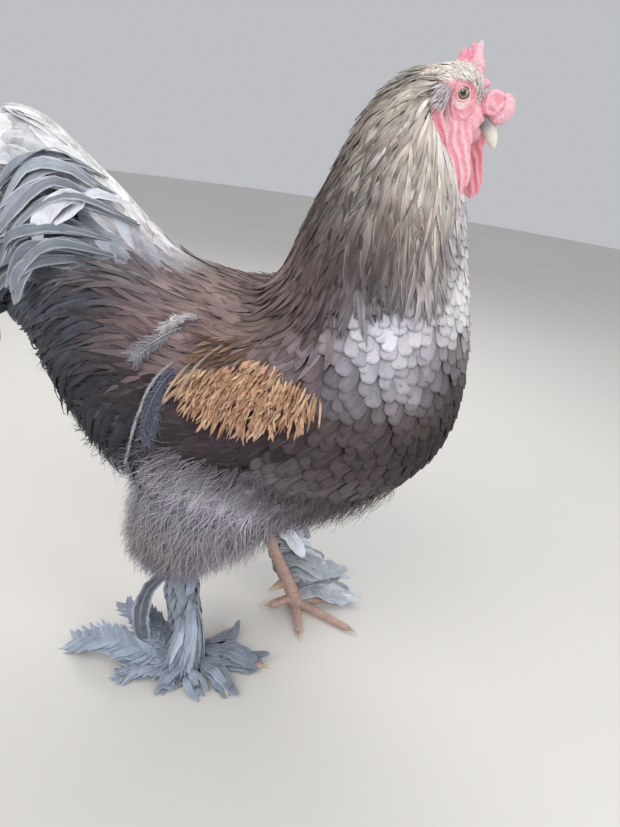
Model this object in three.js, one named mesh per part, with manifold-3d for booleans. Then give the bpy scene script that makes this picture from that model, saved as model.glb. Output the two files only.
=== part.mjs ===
// A life-size standing brahma cock: pea comb, full hackle, short full tail and feathered feet.
// Millimetres, +X towards the bird's breast, +Y to its left, +Z up. The floor is at the lowest point.
import * as THREE from "three";
import { mergeVertices } from "three/addons/utils/BufferGeometryUtils.js";
import Module from "manifold-3d";

const wasm = await Module();
wasm.setup();

// Driving sizes
const PARTING = 0.5; // clearance that a piece leaves round its neighbour
const HEAD_AT = [127, 0, 661]; // midway between the eyes
const HEAD_PITCH = 47; // degrees that the bill points below level
const SHANK_LENGTH = 128;
const SHANK_HALF = 9;
const MIDDLE_TOE = 88; // without its claw
const TOE_HALF = 6;
const CLAW_LENGTH = 15;
// A foot stands at x and y. Its heading and the backward lean of its shank are in degrees, and vanes has the lengths
// of its feather vanes from the front to the back.
const RIGHT_FOOT = { x: -56, y: -58, heading: 8, lean: 9, vanes: [68, 52, 58, 92, 132] };
const LEFT_FOOT = { x: 38, y: 84, heading: -16, lean: 29, vanes: [80, 82, 80, 76, 72] };

const v = (x, y, z) => new THREE.Vector3(x, y, z);
const inPlane = ([x, z], y = 0) => v(x, y, z);
const radians = THREE.MathUtils.degToRad;

// A smooth curve through points, read by its share t of the way.
function through(points) {
  const curve = new THREE.CatmullRomCurve3(points, false, "catmullrom", 0.5);
  return (t) => curve.getPoint(Math.min(Math.max(t, 0), 1));
}

// A mesh's geometry as a solid that can be joined and cut.
function solidOf(geometry) {
  const bare = geometry.clone();
  bare.deleteAttribute("normal");
  bare.deleteAttribute("uv");
  const merged = mergeVertices(bare, 1e-3);
  return new wasm.Manifold(
    new wasm.Mesh({
      numProp: 3,
      vertProperties: merged.attributes.position.array,
      triVerts: new Uint32Array(merged.index.array),
    }),
  );
}

function geometryOf(solid) {
  const mesh = solid.getMesh();
  return new THREE.BufferGeometry()
    .setAttribute("position", new THREE.BufferAttribute(mesh.vertProperties, 3))
    .setIndex(new THREE.BufferAttribute(mesh.triVerts, 1));
}

// A ball whose rings are laid on sections. A station has the two edges of its section, top and under, and half, its
// half thickness across. The ends are rounded over the first and last share (round) of the length.
function loft(stations, { around = 16, along = 12, across = v(0, 1, 0), round = [0.1, 0.1], grow = 0, full = 1 } = {}) {
  const top = through(stations.map((s) => s.top));
  const under = through(stations.map((s) => s.under));
  const size = through(stations.map((s) => v(s.half, 0, 0)));
  const ball = new THREE.SphereGeometry(1, around, along);
  const place = ball.attributes.position;
  const ring = around + 1;
  const stretch = grow / top(0).distanceTo(top(1));
  for (let i = 0; i < place.count; i++) {
    const row = Math.floor(i / ring);
    const turn = (2 * Math.PI * ((i % ring) % around)) / around;
    const t = (1 - Math.cos((Math.PI * row) / along)) / 2;
    const [near, far] = [Math.min(t / round[0], 1), Math.min((1 - t) / round[1], 1)];
    const plump = Math.sqrt(1 - (1 - near) ** 2) * Math.sqrt(1 - (1 - far) ** 2);
    const reach = t * (1 + 2 * stretch) - stretch;
    const [a, b] = [top(t), under(t)];
    const middle = a.clone().add(b).multiplyScalar(0.5);
    middle.add(top(1).add(under(1)).sub(top(0)).sub(under(0)).multiplyScalar((reach - t) / 2));
    const axis = a.sub(b).multiplyScalar(0.5);
    const tall = axis.length() + grow;
    const up = axis.normalize();
    const wide = Math.sign(Math.sin(turn)) * Math.abs(Math.sin(turn)) ** full;
    middle.addScaledVector(up, plump * tall * Math.cos(turn));
    middle.addScaledVector(across, plump * (size(t).x + grow) * wide);
    place.setXYZ(i, middle.x, middle.y, middle.z);
  }
  const solid = solidOf(ball);
  if (solid.volume() > 0) return solid;
  ball.index.array.reverse();
  return solidOf(ball);
}

function ball(centre, radii, { around = 8, along = 7, grow = 0 } = {}) {
  const [a, b, c] = radii;
  const made = new THREE.SphereGeometry(1, around, along).scale(a + grow, b + grow, c + grow);
  return solidOf(made.translate(...centre));
}

// Sections across the bird's middle plane, from rows of [top x, z], [under x, z], half, side.
const profile = (rows) =>
  rows.map(([top, under, half, side = 0]) => ({ top: inPlane(top, side), under: inPlane(under, side), half }));

// Cuts a solid clear of its neighbours.
const clearOf = (solid, ...neighbours) => neighbours.reduce((left, n) => left.subtract(n), solid);

// Trunk: a deep broad breast, level back and full saddle, from the saddle hangers forward.
const TRUNK = profile([
  [[-298, 424], [-280, 340], 38],
  [[-250, 468], [-238, 282], 70],
  [[-186, 490], [-190, 238], 98],
  [[-114, 478], [-126, 208], 118],
  [[-46, 470], [-60, 198], 128],
  [[18, 472], [12, 212], 132],
  [[76, 486], [80, 242], 126],
  [[126, 494], [132, 276], 108],
  [[159, 490], [168, 312], 78],
  [[179, 464], [186, 352], 42],
]);
const trunkForm = (grow) => loft(TRUNK, { around: 18, along: 14, round: [0.06, 0.06], grow, full: 0.86 });

// Neck with its hackle: a cape that starts narrow behind the head and spreads over the shoulders.
const NECK = profile([
  [[-44, 462], [96, 380], 84],
  [[-26, 486], [146, 438], 88],
  [[-10, 520], [163, 500], 80],
  [[4, 560], [152, 552], 69],
  [[20, 604], [141, 590], 57],
  [[42, 643], [127, 618], 46],
  [[70, 670], [114, 640], 34],
  [[102, 690], [112, 654], 22],
]);
const neckForm = (grow) => loft(NECK, { around: 16, along: 11, round: [0.08, 0.06], grow, full: 0.92 });

// The head's own frame: +X along the bill, +Z towards the crown, and the eyes either side of the origin.
const SKULL = profile([
  [[-30, 4], [-30, -16], 11],
  [[-22, 10], [-22, -20], 15],
  [[-10, 14.5], [-10, -20.5], 18],
  [[2, 15.5], [2, -18], 17.5],
  [[14, 13], [14, -15.5], 13.5],
  [[24, 10], [24, -13], 10],
  [[30, 7], [30, -10], 8],
]);
const UPPER_BILL = profile([
  [[18, 9.5], [18, -4], 8.4],
  [[32, 9], [32, -4], 7],
  [[44, 6.5], [43, -3.4], 4.6],
  [[52, 1.5], [49.5, -3.6], 2.2],
  [[54.5, -3.5], [53, -5], 0.8],
]);
const LOWER_BILL = profile([
  [[18, -5], [18, -11.5], 7.2],
  [[30, -5], [30, -10], 5.6],
  [[40, -4.8], [39, -8.4], 3.8],
  [[46, -4.6], [45, -6.4], 1.6],
]);
const EYE = { out: 12.4, radius: 7 };
const skullForm = (grow) => loft(SKULL, { around: 12, along: 10, round: [0.2, 0.1], grow, full: 0.9 });
const upperBillForm = (grow) => loft(UPPER_BILL, { around: 10, along: 8, round: [0.05, 0.15], grow });
const lowerBillForm = (grow) => loft(LOWER_BILL, { around: 10, along: 6, round: [0.05, 0.2], grow });
const eyeForm = (side, grow) => ball([0, side * EYE.out, 0], [EYE.radius, EYE.radius, EYE.radius], { grow });

// Comb: a heavy front lobe over the bill, a low saddle on the forehead and a notched blade at the crown, with its
// peas in three rows.
const COMB_ROWS = [-8, 0, 8];
const COMB_PEAS = [
  { x: 35, z: 20, r: 8 },
  { x: 22, z: 26, r: 8 },
];
function combForm(grow) {
  const lobe = ball([24, 0, 18], [15.5, 12.5, 11.5], { grow });
  const saddle = ball([2, 0, 14], [17, 8.5, 6], { grow });
  const blade = loft(
    profile([
      [[-6, 20], [-22, 8], 5.5],
      [[-12, 27], [-29, 15], 4.5],
      [[-22, 31], [-31, 22], 3],
      [[-27, 33], [-30, 28], 1.6],
    ]),
    { around: 8, along: 6, round: [0.05, 0.2], grow },
  );
  let comb = lobe.add(saddle).add(blade);
  for (const y of COMB_ROWS)
    for (const pea of COMB_PEAS) {
      const low = Math.abs(y) * 0.35;
      const r = pea.r * (1 - Math.abs(y) / 40);
      comb = comb.add(ball([pea.x, y, pea.z - low], [r, r * 0.8, r * 0.9], { around: 6, along: 5, grow }));
    }
  return comb;
}

// Wattle: a thin pendant from the jaw. It hangs straight down, so its sections are laid in the bird's own frame.
function wattleForm(side, grow) {
  const rows = [
    [[124, 640], [144, 646], 3.2, side * 10],
    [[126, 622], [152, 628], 3.6, side * 13],
    [[131, 604], [157, 610], 3.6, side * 15],
    [[137, 588], [156, 592], 3.2, side * 16],
    [[143, 574], [151, 576], 2.2, side * 16],
  ];
  return loft(profile(rows), { around: 10, along: 9, round: [0.08, 0.16], grow });
}

function earlobeForm(side, grow) {
  const rows = [
    [[98, 660], [111, 657], 3, side * 20],
    [[101, 643], [116, 645], 3.6, side * 23],
    [[108, 628], [121, 632], 3.2, side * 23],
    [[116, 615], [123, 618], 2, side * 21],
  ];
  return loft(profile(rows), { around: 10, along: 8, round: [0.15, 0.2], grow });
}

// Wing: folded against the side, shoulder forward and flights to the rear.
function wingForm(side, grow) {
  const station = (top, topOut, under, underOut, half) => ({
    top: v(top[0], side * topOut, top[1]),
    under: v(under[0], side * underOut, under[1]),
    half,
  });
  const stations = [
    station([96, 420], 100, [92, 362], 106, 14),
    station([62, 436], 108, [58, 330], 118, 17),
    station([14, 436], 113, [12, 306], 122, 18),
    station([-40, 428], 112, [-42, 292], 121, 17),
    station([-92, 410], 106, [-96, 286], 113, 14),
    station([-140, 384], 92, [-142, 296], 98, 9),
    station([-178, 352], 76, [-178, 318], 80, 4),
  ];
  return loft(stations, { around: 12, along: 10, round: [0.12, 0.12], grow });
}

// Tail: a carried fan of curved feathers, each side's quills splayed a little outwards, over a filled root.
const TAIL_ROOT = v(-120, 0, 450);
const TAIL_QUILLS = 5; // each side
const SICKLE = [[0, 0], [-82, 62], [-144, 106], [-184, 124], [-218, 122], [-250, 102], [-272, 66]];
const SICKLE_HALF = 29;
const TAIL_SPREAD = 33; // degrees from the highest quill to the lowest
function quillForm(side, share, grow) {
  const turn = radians(TAIL_SPREAD * share);
  const size = 1 - 0.14 * share;
  const arch = through(SICKLE.map((point) => inPlane(point)));
  const stations = [0.1, 0.4, 0.6, 0.8, 0.92, 1].map((t) => {
    const here = arch(t).multiplyScalar(size);
    const ahead = arch(t + 0.02).sub(arch(t - 0.02)).normalize();
    const over = v(ahead.z, 0, -ahead.x);
    const half = SICKLE_HALF * Math.min(0.5 + 1.3 * t, 1) * Math.min(0.4 + 4 * (1 - t), 1) + grow;
    const splay = side * (6 + t * (12 + 30 * Math.sin(Math.PI * (0.1 + 0.6 * share))));
    const lay = (p) => p.applyAxisAngle(v(0, 1, 0), -turn).add(TAIL_ROOT).add(v(0, splay, 0));
    return {
      top: lay(here.clone().addScaledVector(over, half)),
      under: lay(here.clone().addScaledVector(over, -half)),
      half: 5 * (1 - 0.55 * t) + grow,
    };
  });
  return loft(stations, { around: 6, along: 6, round: [0.06, 0.1] });
}
function tailForm(grow) {
  let tail = loft(
    profile([
      [[-110, 470], [-130, 320], 62],
      [[-168, 508], [-215, 330], 60],
      [[-222, 545], [-280, 372], 48],
      [[-272, 574], [-316, 440], 30],
      [[-300, 580], [-326, 500], 14],
    ]),
    { around: 10, along: 7, round: [0.1, 0.2], grow, full: 0.9 },
  );
  for (const side of [-1, 1])
    for (let k = 0; k < TAIL_QUILLS; k++) tail = tail.add(quillForm(side, k / (TAIL_QUILLS - 1), grow));
  return tail;
}

// Thigh: the drumstick in its fluff, from the flank down to the hock.
function thighForm(foot, side, grow) {
  const hock = hockOf(foot);
  const stations = [
    { at: [-20, 58, 272], front: 84, back: 108, half: 46 },
    { at: [-34, 64, 232], front: 72, back: 104, half: 50 },
    { at: [-30, 68, 192], front: 50, back: 90, half: 46, follow: 0.5 },
    { at: [0, 70, 160], front: 26, back: 54, half: 32, follow: 0.9 },
    { at: [0, 70, 138], front: 12, back: 20, half: 15, follow: 1 },
  ].map(({ at, front, back, half, follow = 0 }) => {
    const x = (at[0] + foot.x * 0.2) * (1 - follow) + hock.x * follow;
    const y = side * at[1] * (1 - follow) + foot.y * follow;
    const z = at[2] + (hock.z - 134) * follow;
    return { top: v(x + front, y, z), under: v(x - back, y, z), half };
  });
  return loft(stations, { around: 12, along: 8, round: [0.1, 0.16], grow });
}

function hockOf(foot) {
  const lean = radians(foot.lean);
  return v(foot.x - SHANK_LENGTH * Math.sin(lean), foot.y, 12 + SHANK_LENGTH * Math.cos(lean));
}

// Shank: a scaly cylinder from the hock to the toes, thickest at its ends.
function shankForm(foot, grow) {
  const hock = hockOf(foot);
  const sole = v(foot.x, foot.y, 13);
  const stations = [1.06, 0.85, 0.5, 0.2, 0].map((t, i) => {
    const half = SHANK_HALF * [1.15, 1.05, 0.86, 0.95, 1.1][i];
    const centre = sole.clone().lerp(hock, t);
    return { top: centre.clone().add(v(half, 0, 0)), under: centre.clone().add(v(-half, 0, 0)), half: half * 0.92 };
  });
  return loft(stations, { around: 12, along: 7, round: [0.08, 0.1], grow });
}

function spurForm(foot, side, grow) {
  const base = v(foot.x, foot.y, 13).lerp(hockOf(foot), 0.27);
  const out = v(-0.72, -0.66 * side, 0.06);
  const stations = [0, 0.5, 1].map((t) => {
    const centre = base.clone().addScaledVector(out, 6 + 22 * t).add(v(0, 0, 3 * t * t));
    const half = 4.6 - 3.9 * t;
    return { top: centre.clone().add(v(0, 0, half)), under: centre.clone().add(v(0, 0, -half)), half };
  });
  return loft(stations, { around: 6, along: 5, round: [0.05, 0.1], grow, across: v(-out.y, out.x, 0).normalize() });
}

// Toes: turn from the foot's heading, outwards positive, length without the claw, and rise of the root.
const TOES = {
  inner: { turn: -53, length: 62, rise: 0 },
  middle: { turn: 0, length: MIDDLE_TOE, rise: 0 },
  outer: { turn: 44, length: 68, rise: 0 },
  hind: { turn: -130, length: 38, rise: 7 },
};
function toeWay(foot, side, toe) {
  const turn = radians(foot.heading + side * toe.turn);
  return v(Math.cos(turn), Math.sin(turn), 0);
}
const floor = solidOf(new THREE.BoxGeometry(2000, 2000, 200).translate(0, 0, -100));
function toeForm(foot, side, toe, grow) {
  const way = toeWay(foot, side, toe);
  const start = v(foot.x, foot.y, 0).addScaledVector(way, 5);
  const knuckles = [1.12, 1.04, 0.86, 0.98, 0.8, 0.88, 0.62];
  const stations = knuckles.map((thick, i) => {
    const t = i / (knuckles.length - 1);
    const half = TOE_HALF * thick;
    const centre = start.clone().addScaledVector(way, toe.length * t);
    centre.z = half * 0.86 + toe.rise * (1 - t) + 5 * (1 - t) ** 3;
    return { top: centre.clone().add(v(0, 0, half)), under: centre.clone().add(v(0, 0, -half)), half };
  });
  return loft(stations, { around: 8, along: 8, round: [0.06, 0.08], grow, across: v(-way.y, way.x, 0) });
}
function clawForm(foot, side, toe, grow) {
  const way = toeWay(foot, side, toe);
  const start = v(foot.x, foot.y, 0).addScaledVector(way, toe.length + 3);
  const stations = [0, 0.45, 1].map((t) => {
    const half = 3 - 2.3 * t;
    const centre = start.clone().addScaledVector(way, CLAW_LENGTH * t);
    centre.z = 5 - 4 * t * t;
    return { top: centre.clone().add(v(0, 0, half)), under: centre.clone().add(v(0, 0, -half)), half: half * 0.8 };
  });
  return loft(stations, { around: 6, along: 5, round: [0.05, 0.1], grow, across: v(-way.y, way.x, 0) });
}

// Foot feathering: stiff vanes from the outer side of the shank and the outer toe, spread to the floor.
function vane(root, way, length, width, thick, sag, grow) {
  const across = v(-way.y, way.x, 0).normalize();
  const flat = way.clone().cross(across).normalize();
  const stations = [0, 0.3, 0.65, 1].map((t) => {
    const centre = root.clone().addScaledVector(way, length * t).add(v(0, 0, -sag * t * t));
    const half = width * (0.34 + 0.66 * Math.sin(Math.PI * Math.min(0.12 + 0.75 * t, 1))) + grow;
    return {
      top: centre.clone().addScaledVector(across, half),
      under: centre.clone().addScaledVector(across, -half),
      half: thick + grow,
    };
  });
  return loft(stations, { around: 6, along: 5, round: [0.08, 0.14], across: flat });
}
const FOOT_VANES = [
  { turn: 26, up: 0.12, width: 14 },
  { turn: 66, up: 0.16, width: 17 },
  { turn: 102, up: 0.22, width: 18 },
  { turn: 134, up: 0.28, width: 18 },
  { turn: 160, up: 0.34, width: 18 },
];
function footFeathers(foot, side) {
  const sole = v(foot.x, foot.y, 13);
  const hock = hockOf(foot);
  const sleeve = loft(
    [0.06, 0.35, 0.7, 0.98].map((t, i) => {
      const centre = sole.clone().lerp(hock, t).add(v(0, side * [17, 13, 10, 7][i], 0));
      const half = [27, 23, 20, 14][i];
      return { top: centre.clone().add(v(half, 0, 0)), under: centre.clone().add(v(-half * 1.2, 0, 0)), half: 9 };
    }),
    { around: 10, along: 6, round: [0.1, 0.1] },
  );
  let all = sleeve;
  for (const [i, { turn, up, width }] of FOOT_VANES.entries()) {
    const length = foot.vanes[i];
    const angle = radians(foot.heading + side * turn);
    const root = sole.clone().lerp(hock, up).add(v(Math.cos(angle) * 8, Math.sin(angle) * 8, 0));
    const way = v(Math.cos(angle), Math.sin(angle), -root.z / length / 1.6).normalize();
    all = all.add(vane(root, way, length, width, 3, root.z * 0.34, 0));
  }
  return all;
}

// Colours and finishes
const paint = (color, roughness) => new THREE.MeshStandardMaterial({ color, roughness, metalness: 0 });
const looks = {
  body: paint(0x5d504c, 0.8),
  hackle: paint(0x8c7c6a, 0.75),
  tail: paint(0xa9abb2, 0.75),
  feet: paint(0x8f9aa6, 0.8),
  flesh: paint(0xd9566a, 0.5),
  scale: paint(0xc98f66, 0.55),
  horn: paint(0xd8d2b8, 0.35),
  eye: paint(0xc98a3c, 0.1),
};

const bird = new THREE.Group();
const head = new THREE.Group();
head.position.set(...HEAD_AT);
head.rotation.y = radians(HEAD_PITCH);
head.updateMatrix();
const intoBody = (solid) => solid.transform(head.matrix.toArray());
const intoHead = (solid) => solid.transform(head.matrix.clone().invert().toArray());
function add(group, name, solid, material) {
  const mesh = new THREE.Mesh(geometryOf(solid), material);
  mesh.name = name;
  group.add(mesh);
}

const upperBill = upperBillForm(PARTING);
const lowerBill = lowerBillForm(PARTING);
const skullClear = clearOf(skullForm(0), eyeForm(-1, PARTING), eyeForm(1, PARTING), upperBill, lowerBill);
const skull = skullForm(PARTING);
add(head, "head", skullClear, looks.flesh);
add(head, "beak_upper", upperBillForm(0), looks.horn);
add(head, "beak_lower", clearOf(lowerBillForm(0), upperBill), looks.horn);
add(head, "comb", clearOf(combForm(0), skull, upperBill), looks.flesh);

const trunkRoom = [neckForm(PARTING)];
const neckRoom = [intoBody(skull)];
for (const [name, side] of [["right", -1], ["left", 1]]) {
  add(head, `eye_${name}`, eyeForm(side, 0), looks.eye);
  const wattle = clearOf(wattleForm(side, 0), ...[skull, upperBill, lowerBill].map(intoBody));
  add(bird, `wattle_${name}`, wattle, looks.flesh);
  const lobe = clearOf(earlobeForm(side, 0), intoBody(skull), wattleForm(side, PARTING));
  add(bird, `earlobe_${name}`, lobe, looks.flesh);
  neckRoom.push(wattleForm(side, PARTING), earlobeForm(side, PARTING));
  add(bird, `wing_${name}`, clearOf(wingForm(side, 0), neckForm(PARTING)), looks.body);
  trunkRoom.push(wingForm(side, PARTING));
}
add(bird, "neck", clearOf(neckForm(0), ...neckRoom), looks.hackle);
add(bird, "trunk", clearOf(trunkForm(0), ...trunkRoom), looks.body);
add(bird, "tail", clearOf(tailForm(0), trunkForm(PARTING)), looks.tail);

for (const [name, side, foot] of [["right", -1, RIGHT_FOOT], ["left", 1, LEFT_FOOT]]) {
  const thigh = thighForm(foot, side, PARTING);
  const shank = shankForm(foot, PARTING);
  add(bird, `thigh_${name}`, clearOf(thighForm(foot, side, 0), trunkForm(PARTING)), looks.body);
  add(bird, `shank_${name}`, clearOf(shankForm(foot, 0), thigh, floor), looks.scale);
  add(bird, `spur_${name}`, clearOf(spurForm(foot, side, 0), shank, thigh), looks.horn);
  const feathersRoom = [thigh, shank, floor];
  const toesDone = [];
  for (const [key, toe] of Object.entries(TOES)) {
    add(bird, `toe_${key}_${name}`, clearOf(toeForm(foot, side, toe, 0), shank, floor, ...toesDone), looks.scale);
    toesDone.push(toeForm(foot, side, toe, PARTING));
    const claw = clearOf(clawForm(foot, side, toe, 0), toesDone.at(-1), floor);
    add(bird, `claw_${key}_${name}`, claw, looks.horn);
    feathersRoom.push(clawForm(foot, side, toe, PARTING));
  }
  add(bird, `foot_feathers_${name}`, clearOf(footFeathers(foot, side), ...feathersRoom, ...toesDone), looks.feet);
}
bird.add(head);

// The origin is on the floor, under the middle of the bird's box.
bird.updateMatrixWorld(true);
const box = new THREE.Box3().setFromObject(bird);
bird.position.set(-(box.min.x + box.max.x) / 2, -(box.min.y + box.max.y) / 2, -box.min.z);

export default bird;
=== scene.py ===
import bmesh
import bpy
import numpy as np
from mathutils import Matrix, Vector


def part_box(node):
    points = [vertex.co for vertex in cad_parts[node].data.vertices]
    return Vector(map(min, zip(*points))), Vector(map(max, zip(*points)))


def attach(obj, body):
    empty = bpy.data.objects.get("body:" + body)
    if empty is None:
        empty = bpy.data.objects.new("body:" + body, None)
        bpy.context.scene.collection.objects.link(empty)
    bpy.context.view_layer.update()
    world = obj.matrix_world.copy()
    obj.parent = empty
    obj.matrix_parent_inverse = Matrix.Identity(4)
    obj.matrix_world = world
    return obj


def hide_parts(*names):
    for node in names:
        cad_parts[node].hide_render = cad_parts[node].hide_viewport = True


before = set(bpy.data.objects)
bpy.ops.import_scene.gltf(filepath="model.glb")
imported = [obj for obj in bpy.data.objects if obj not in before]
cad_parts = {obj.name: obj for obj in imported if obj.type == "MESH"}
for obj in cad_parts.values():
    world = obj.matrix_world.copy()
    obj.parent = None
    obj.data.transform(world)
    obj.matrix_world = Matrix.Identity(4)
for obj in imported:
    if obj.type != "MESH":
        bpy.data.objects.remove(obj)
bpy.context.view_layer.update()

# The whole bird is laid out in its own frame: metres, +X towards the breast, +Y to its left, the floor at 0,
# with the middle plane between the feet at y = 0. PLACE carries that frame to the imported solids.
# The bird is one still body of flesh, horn and feather, so every piece rides on the root.
EYE_AT = np.array([0.127, 0.0124, 0.661])  # the left eye's centre; the right one is its mirror
near_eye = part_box("eye_right")
PLACE = np.array((near_eye[0] + near_eye[1]) / 2) - EYE_AT * (1, -1, 1)


def unit(vectors):
    """Each vector divided by its own length."""
    return vectors / np.maximum(np.linalg.norm(vectors, axis=-1, keepdims=True), 1e-12)


def columns(*values):
    """Points or places from their coordinates, each an array or one number for all."""
    return np.stack(np.broadcast_arrays(*values), axis=-1)


# Camera, floor and lights: a phone held a little above the bird's head and tipped to one side, looking down
# at its right flank, over a plain pale floor. Daylight comes broad and soft from above, with a little more
# from the front.
CAMERA_AT = np.array([0.148, -0.644, 0.617])
CAMERA_DOWN, CAMERA_TURN, CAMERA_TIP = np.radians([23.6, 10.0, 8.6])
LENS_SHARE = 649 / 827  # focal length over the height of the picture

level = np.array([-np.sin(CAMERA_TURN), np.cos(CAMERA_TURN), 0])
ahead = level * np.cos(CAMERA_DOWN) - np.array([0, 0, np.sin(CAMERA_DOWN)])
across = np.array([np.cos(CAMERA_TURN), np.sin(CAMERA_TURN), 0])
below = np.cross(ahead, across)
picture_right = across * np.cos(CAMERA_TIP) - below * np.sin(CAMERA_TIP)
picture_down = across * np.sin(CAMERA_TIP) + below * np.cos(CAMERA_TIP)
camera_data = bpy.data.cameras.new("camera")
FILM = 36  # the longer side of the picture on the camera's film, in millimetres
camera_data.sensor_width = FILM
camera_data.lens = FILM * LENS_SHARE
camera_data.clip_start = 0.02
camera = bpy.data.objects.new("camera", camera_data)
turn = np.eye(4)
turn[:3, :3] = np.stack([picture_right, -picture_down, -ahead], axis=1)
turn[:3, 3] = CAMERA_AT + PLACE
camera.matrix_world = Matrix(turn)
bpy.context.scene.collection.objects.link(camera)
bpy.context.scene.camera = camera


def lamp(name, at, aim, size, watts, colour):
    """A square area light at one point that faces another: its axes are the line of sight and two normals to
    it."""
    data = bpy.data.lights.new(name, "AREA")
    data.size, data.energy, data.color = size, watts, colour
    at, aim = np.array(at), np.array(aim)
    back = unit(at - aim)
    right = unit(np.cross([0.1, 0.2, 1], back))
    stand = np.eye(4)
    stand[:3, :3] = np.stack([right, np.cross(back, right), back], axis=1)
    stand[:3, 3] = at + PLACE
    light = bpy.data.objects.new(name, data)
    light.matrix_world = Matrix(stand)
    bpy.context.scene.collection.objects.link(light)


MIDDLE = (-0.05, 0, 0.38)
lamp("sky_window", (-0.5, -1.5, 1.9), MIDDLE, 1.6, 26, (1.0, 0.985, 0.96))
lamp("front_window", (1.7, -0.9, 1.1), MIDDLE, 1.2, 14, (0.95, 0.98, 1.0))
lamp("top_rim", (-0.4, 1.2, 1.7), MIDDLE, 1.2, 16, (1.0, 1.0, 1.0))


class Wire:
    """An output of a material's node. A sum, difference, product, quotient or absolute value of wires, with
    numbers on either side, adds a Math node to that material."""

    def __init__(self, stuff, socket):
        self.stuff, self.socket = stuff, socket

    def math(self, operation, *others, swap=False):
        """One Math node: the operation's name, and this wire with the other values, first or last."""
        values = [self, *others]
        if swap:
            values = values[::-1]
        return self.stuff.node("ShaderNodeMath", {"operation": operation}, dict(enumerate(values)))

    def __add__(self, other):
        return self.math("ADD", other)

    def __sub__(self, other):
        return self.math("SUBTRACT", other)

    def __mul__(self, other):
        return self.math("MULTIPLY", other)

    def __truediv__(self, other):
        return self.math("DIVIDE", other)

    def __rsub__(self, other):
        return self.math("SUBTRACT", other, swap=True)

    def __abs__(self):
        return self.math("ABSOLUTE")

    __radd__ = __add__
    __rmul__ = __mul__

    def ramp(self, low, high):
        """A smooth step: 0 below low, 1 above high, and an S curve between."""
        settings = {"interpolation_type": "SMOOTHSTEP"}
        return self.stuff.node(
            "ShaderNodeMapRange", settings, {"Value": self, "From Min": low, "From Max": high}
        )


class Stuff:
    """A material whose shader takes its even values directly and its varying ones from wires."""

    def __init__(self, name, **even):
        self.material = bpy.data.materials.new(name)
        self.material.use_nodes = True
        self.tree = self.material.node_tree
        self.shader = self.tree.nodes["Principled BSDF"]
        for socket, value in even.items():
            self.shader.inputs[socket.replace("_", " ").title().replace("Ior", "IOR")].default_value = value

    def node(self, kind, settings=None, values=None, output=0):
        """Any node, from its type, its settings and the values or wires of its sockets, by name or number."""
        made = self.tree.nodes.new(kind)
        for key, value in (settings or {}).items():
            setattr(made, key, value)
        for key, value in (values or {}).items():
            named = [s for s in made.inputs if s.name == key and s.enabled]
            self.feed(named[0] if named else made.inputs[key], value)
        live = [s for s in made.outputs if s.enabled]
        return Wire(self, made.outputs[output] if isinstance(output, str) else live[output])

    def feed(self, socket, value):
        """Links a wire to a socket, or sets its number or colour."""
        if isinstance(value, Wire):
            self.tree.links.new(value.socket, socket)
        else:
            socket.default_value = value

    def drive(self, socket, wire):
        """Lets a wire drive one of the shader's sockets."""
        self.feed(self.shader.inputs[socket], wire)

    def blend(self, share, first, second, way="MIX"):
        """A colour between two others, by share from 0 to 1."""
        first, second = (c if isinstance(c, Wire) else (*c, 1) for c in (first, second))
        settings = {"data_type": "RGBA", "blend_type": way}
        return self.node("ShaderNodeMix", settings, {"Factor": share, "A": first, "B": second})

    def vector(self, operation, *values, output=0):
        """One Vector Math node on the values or wires given."""
        return self.node("ShaderNodeVectorMath", {"operation": operation}, dict(enumerate(values)), output)

    def stored(self, name, output="Color"):
        """What is stored under a name on the piece's points."""
        return self.node("ShaderNodeAttribute", {"attribute_name": name}, output=output)

    def noise(self, scale, detail=3.0, where=None):
        """Soft random values about 0.5, in cells of 1 over scale metres, or of its own units along another
        wire."""
        if where is None:
            where = self.node("ShaderNodeTexCoord", output="Object")
        return self.node("ShaderNodeTexNoise", {}, {"Vector": where, "Scale": scale, "Detail": detail})

    def bump(self, height, distance):
        """Tilts the surface's normal by a height, in metres at height 1."""
        self.drive("Normal", self.node("ShaderNodeBump", {}, {"Height": height, "Distance": distance}))


def paint(red, green, blue):
    """A colour as an eye names it, 0 to 255, turned to light: the sRGB curve undone."""
    share = np.array([red, green, blue]) / 255
    return np.where(share <= 0.04045, share / 12.92, ((share + 0.055) / 1.055) ** 2.4)


def build(name, points, faces):
    """A mesh object from points, in the bird's frame, and arrays of faces, each array with its own corner
    count."""
    points = np.asarray(points, float).reshape(-1, 3) + PLACE
    faces = [np.asarray(f, np.int32).reshape(len(f), -1) for f in faces if len(f)]
    corners = np.concatenate([f.ravel() for f in faces])
    counts = np.concatenate([np.full(len(f), f.shape[1], np.int32) for f in faces])
    mesh = bpy.data.meshes.new(name)
    mesh.vertices.add(len(points))
    mesh.vertices.foreach_set("co", points.ravel())
    mesh.loops.add(len(corners))
    mesh.loops.foreach_set("vertex_index", corners)
    mesh.polygons.add(len(counts))
    mesh.polygons.foreach_set("loop_start", np.concatenate([[0], np.cumsum(counts)[:-1]]).astype(np.int32))
    mesh.polygons.foreach_set("use_smooth", np.ones(len(counts), bool))
    mesh.update(calc_edges=True)
    made = bpy.data.objects.new(name, mesh)
    bpy.context.scene.collection.objects.link(made)
    return made


def coordinates(mesh):
    """The mesh's points in the bird's frame."""
    points = np.empty(len(mesh.vertices) * 3, np.float32)
    mesh.vertices.foreach_get("co", points)
    return points.reshape(-1, 3).astype(float) - PLACE


def facings(mesh):
    """The mesh's outward direction at each point."""
    ways = np.empty(len(mesh.vertices) * 3, np.float32)
    mesh.vertex_normals.foreach_get("vector", ways)
    return ways.reshape(-1, 3).astype(float)


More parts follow.
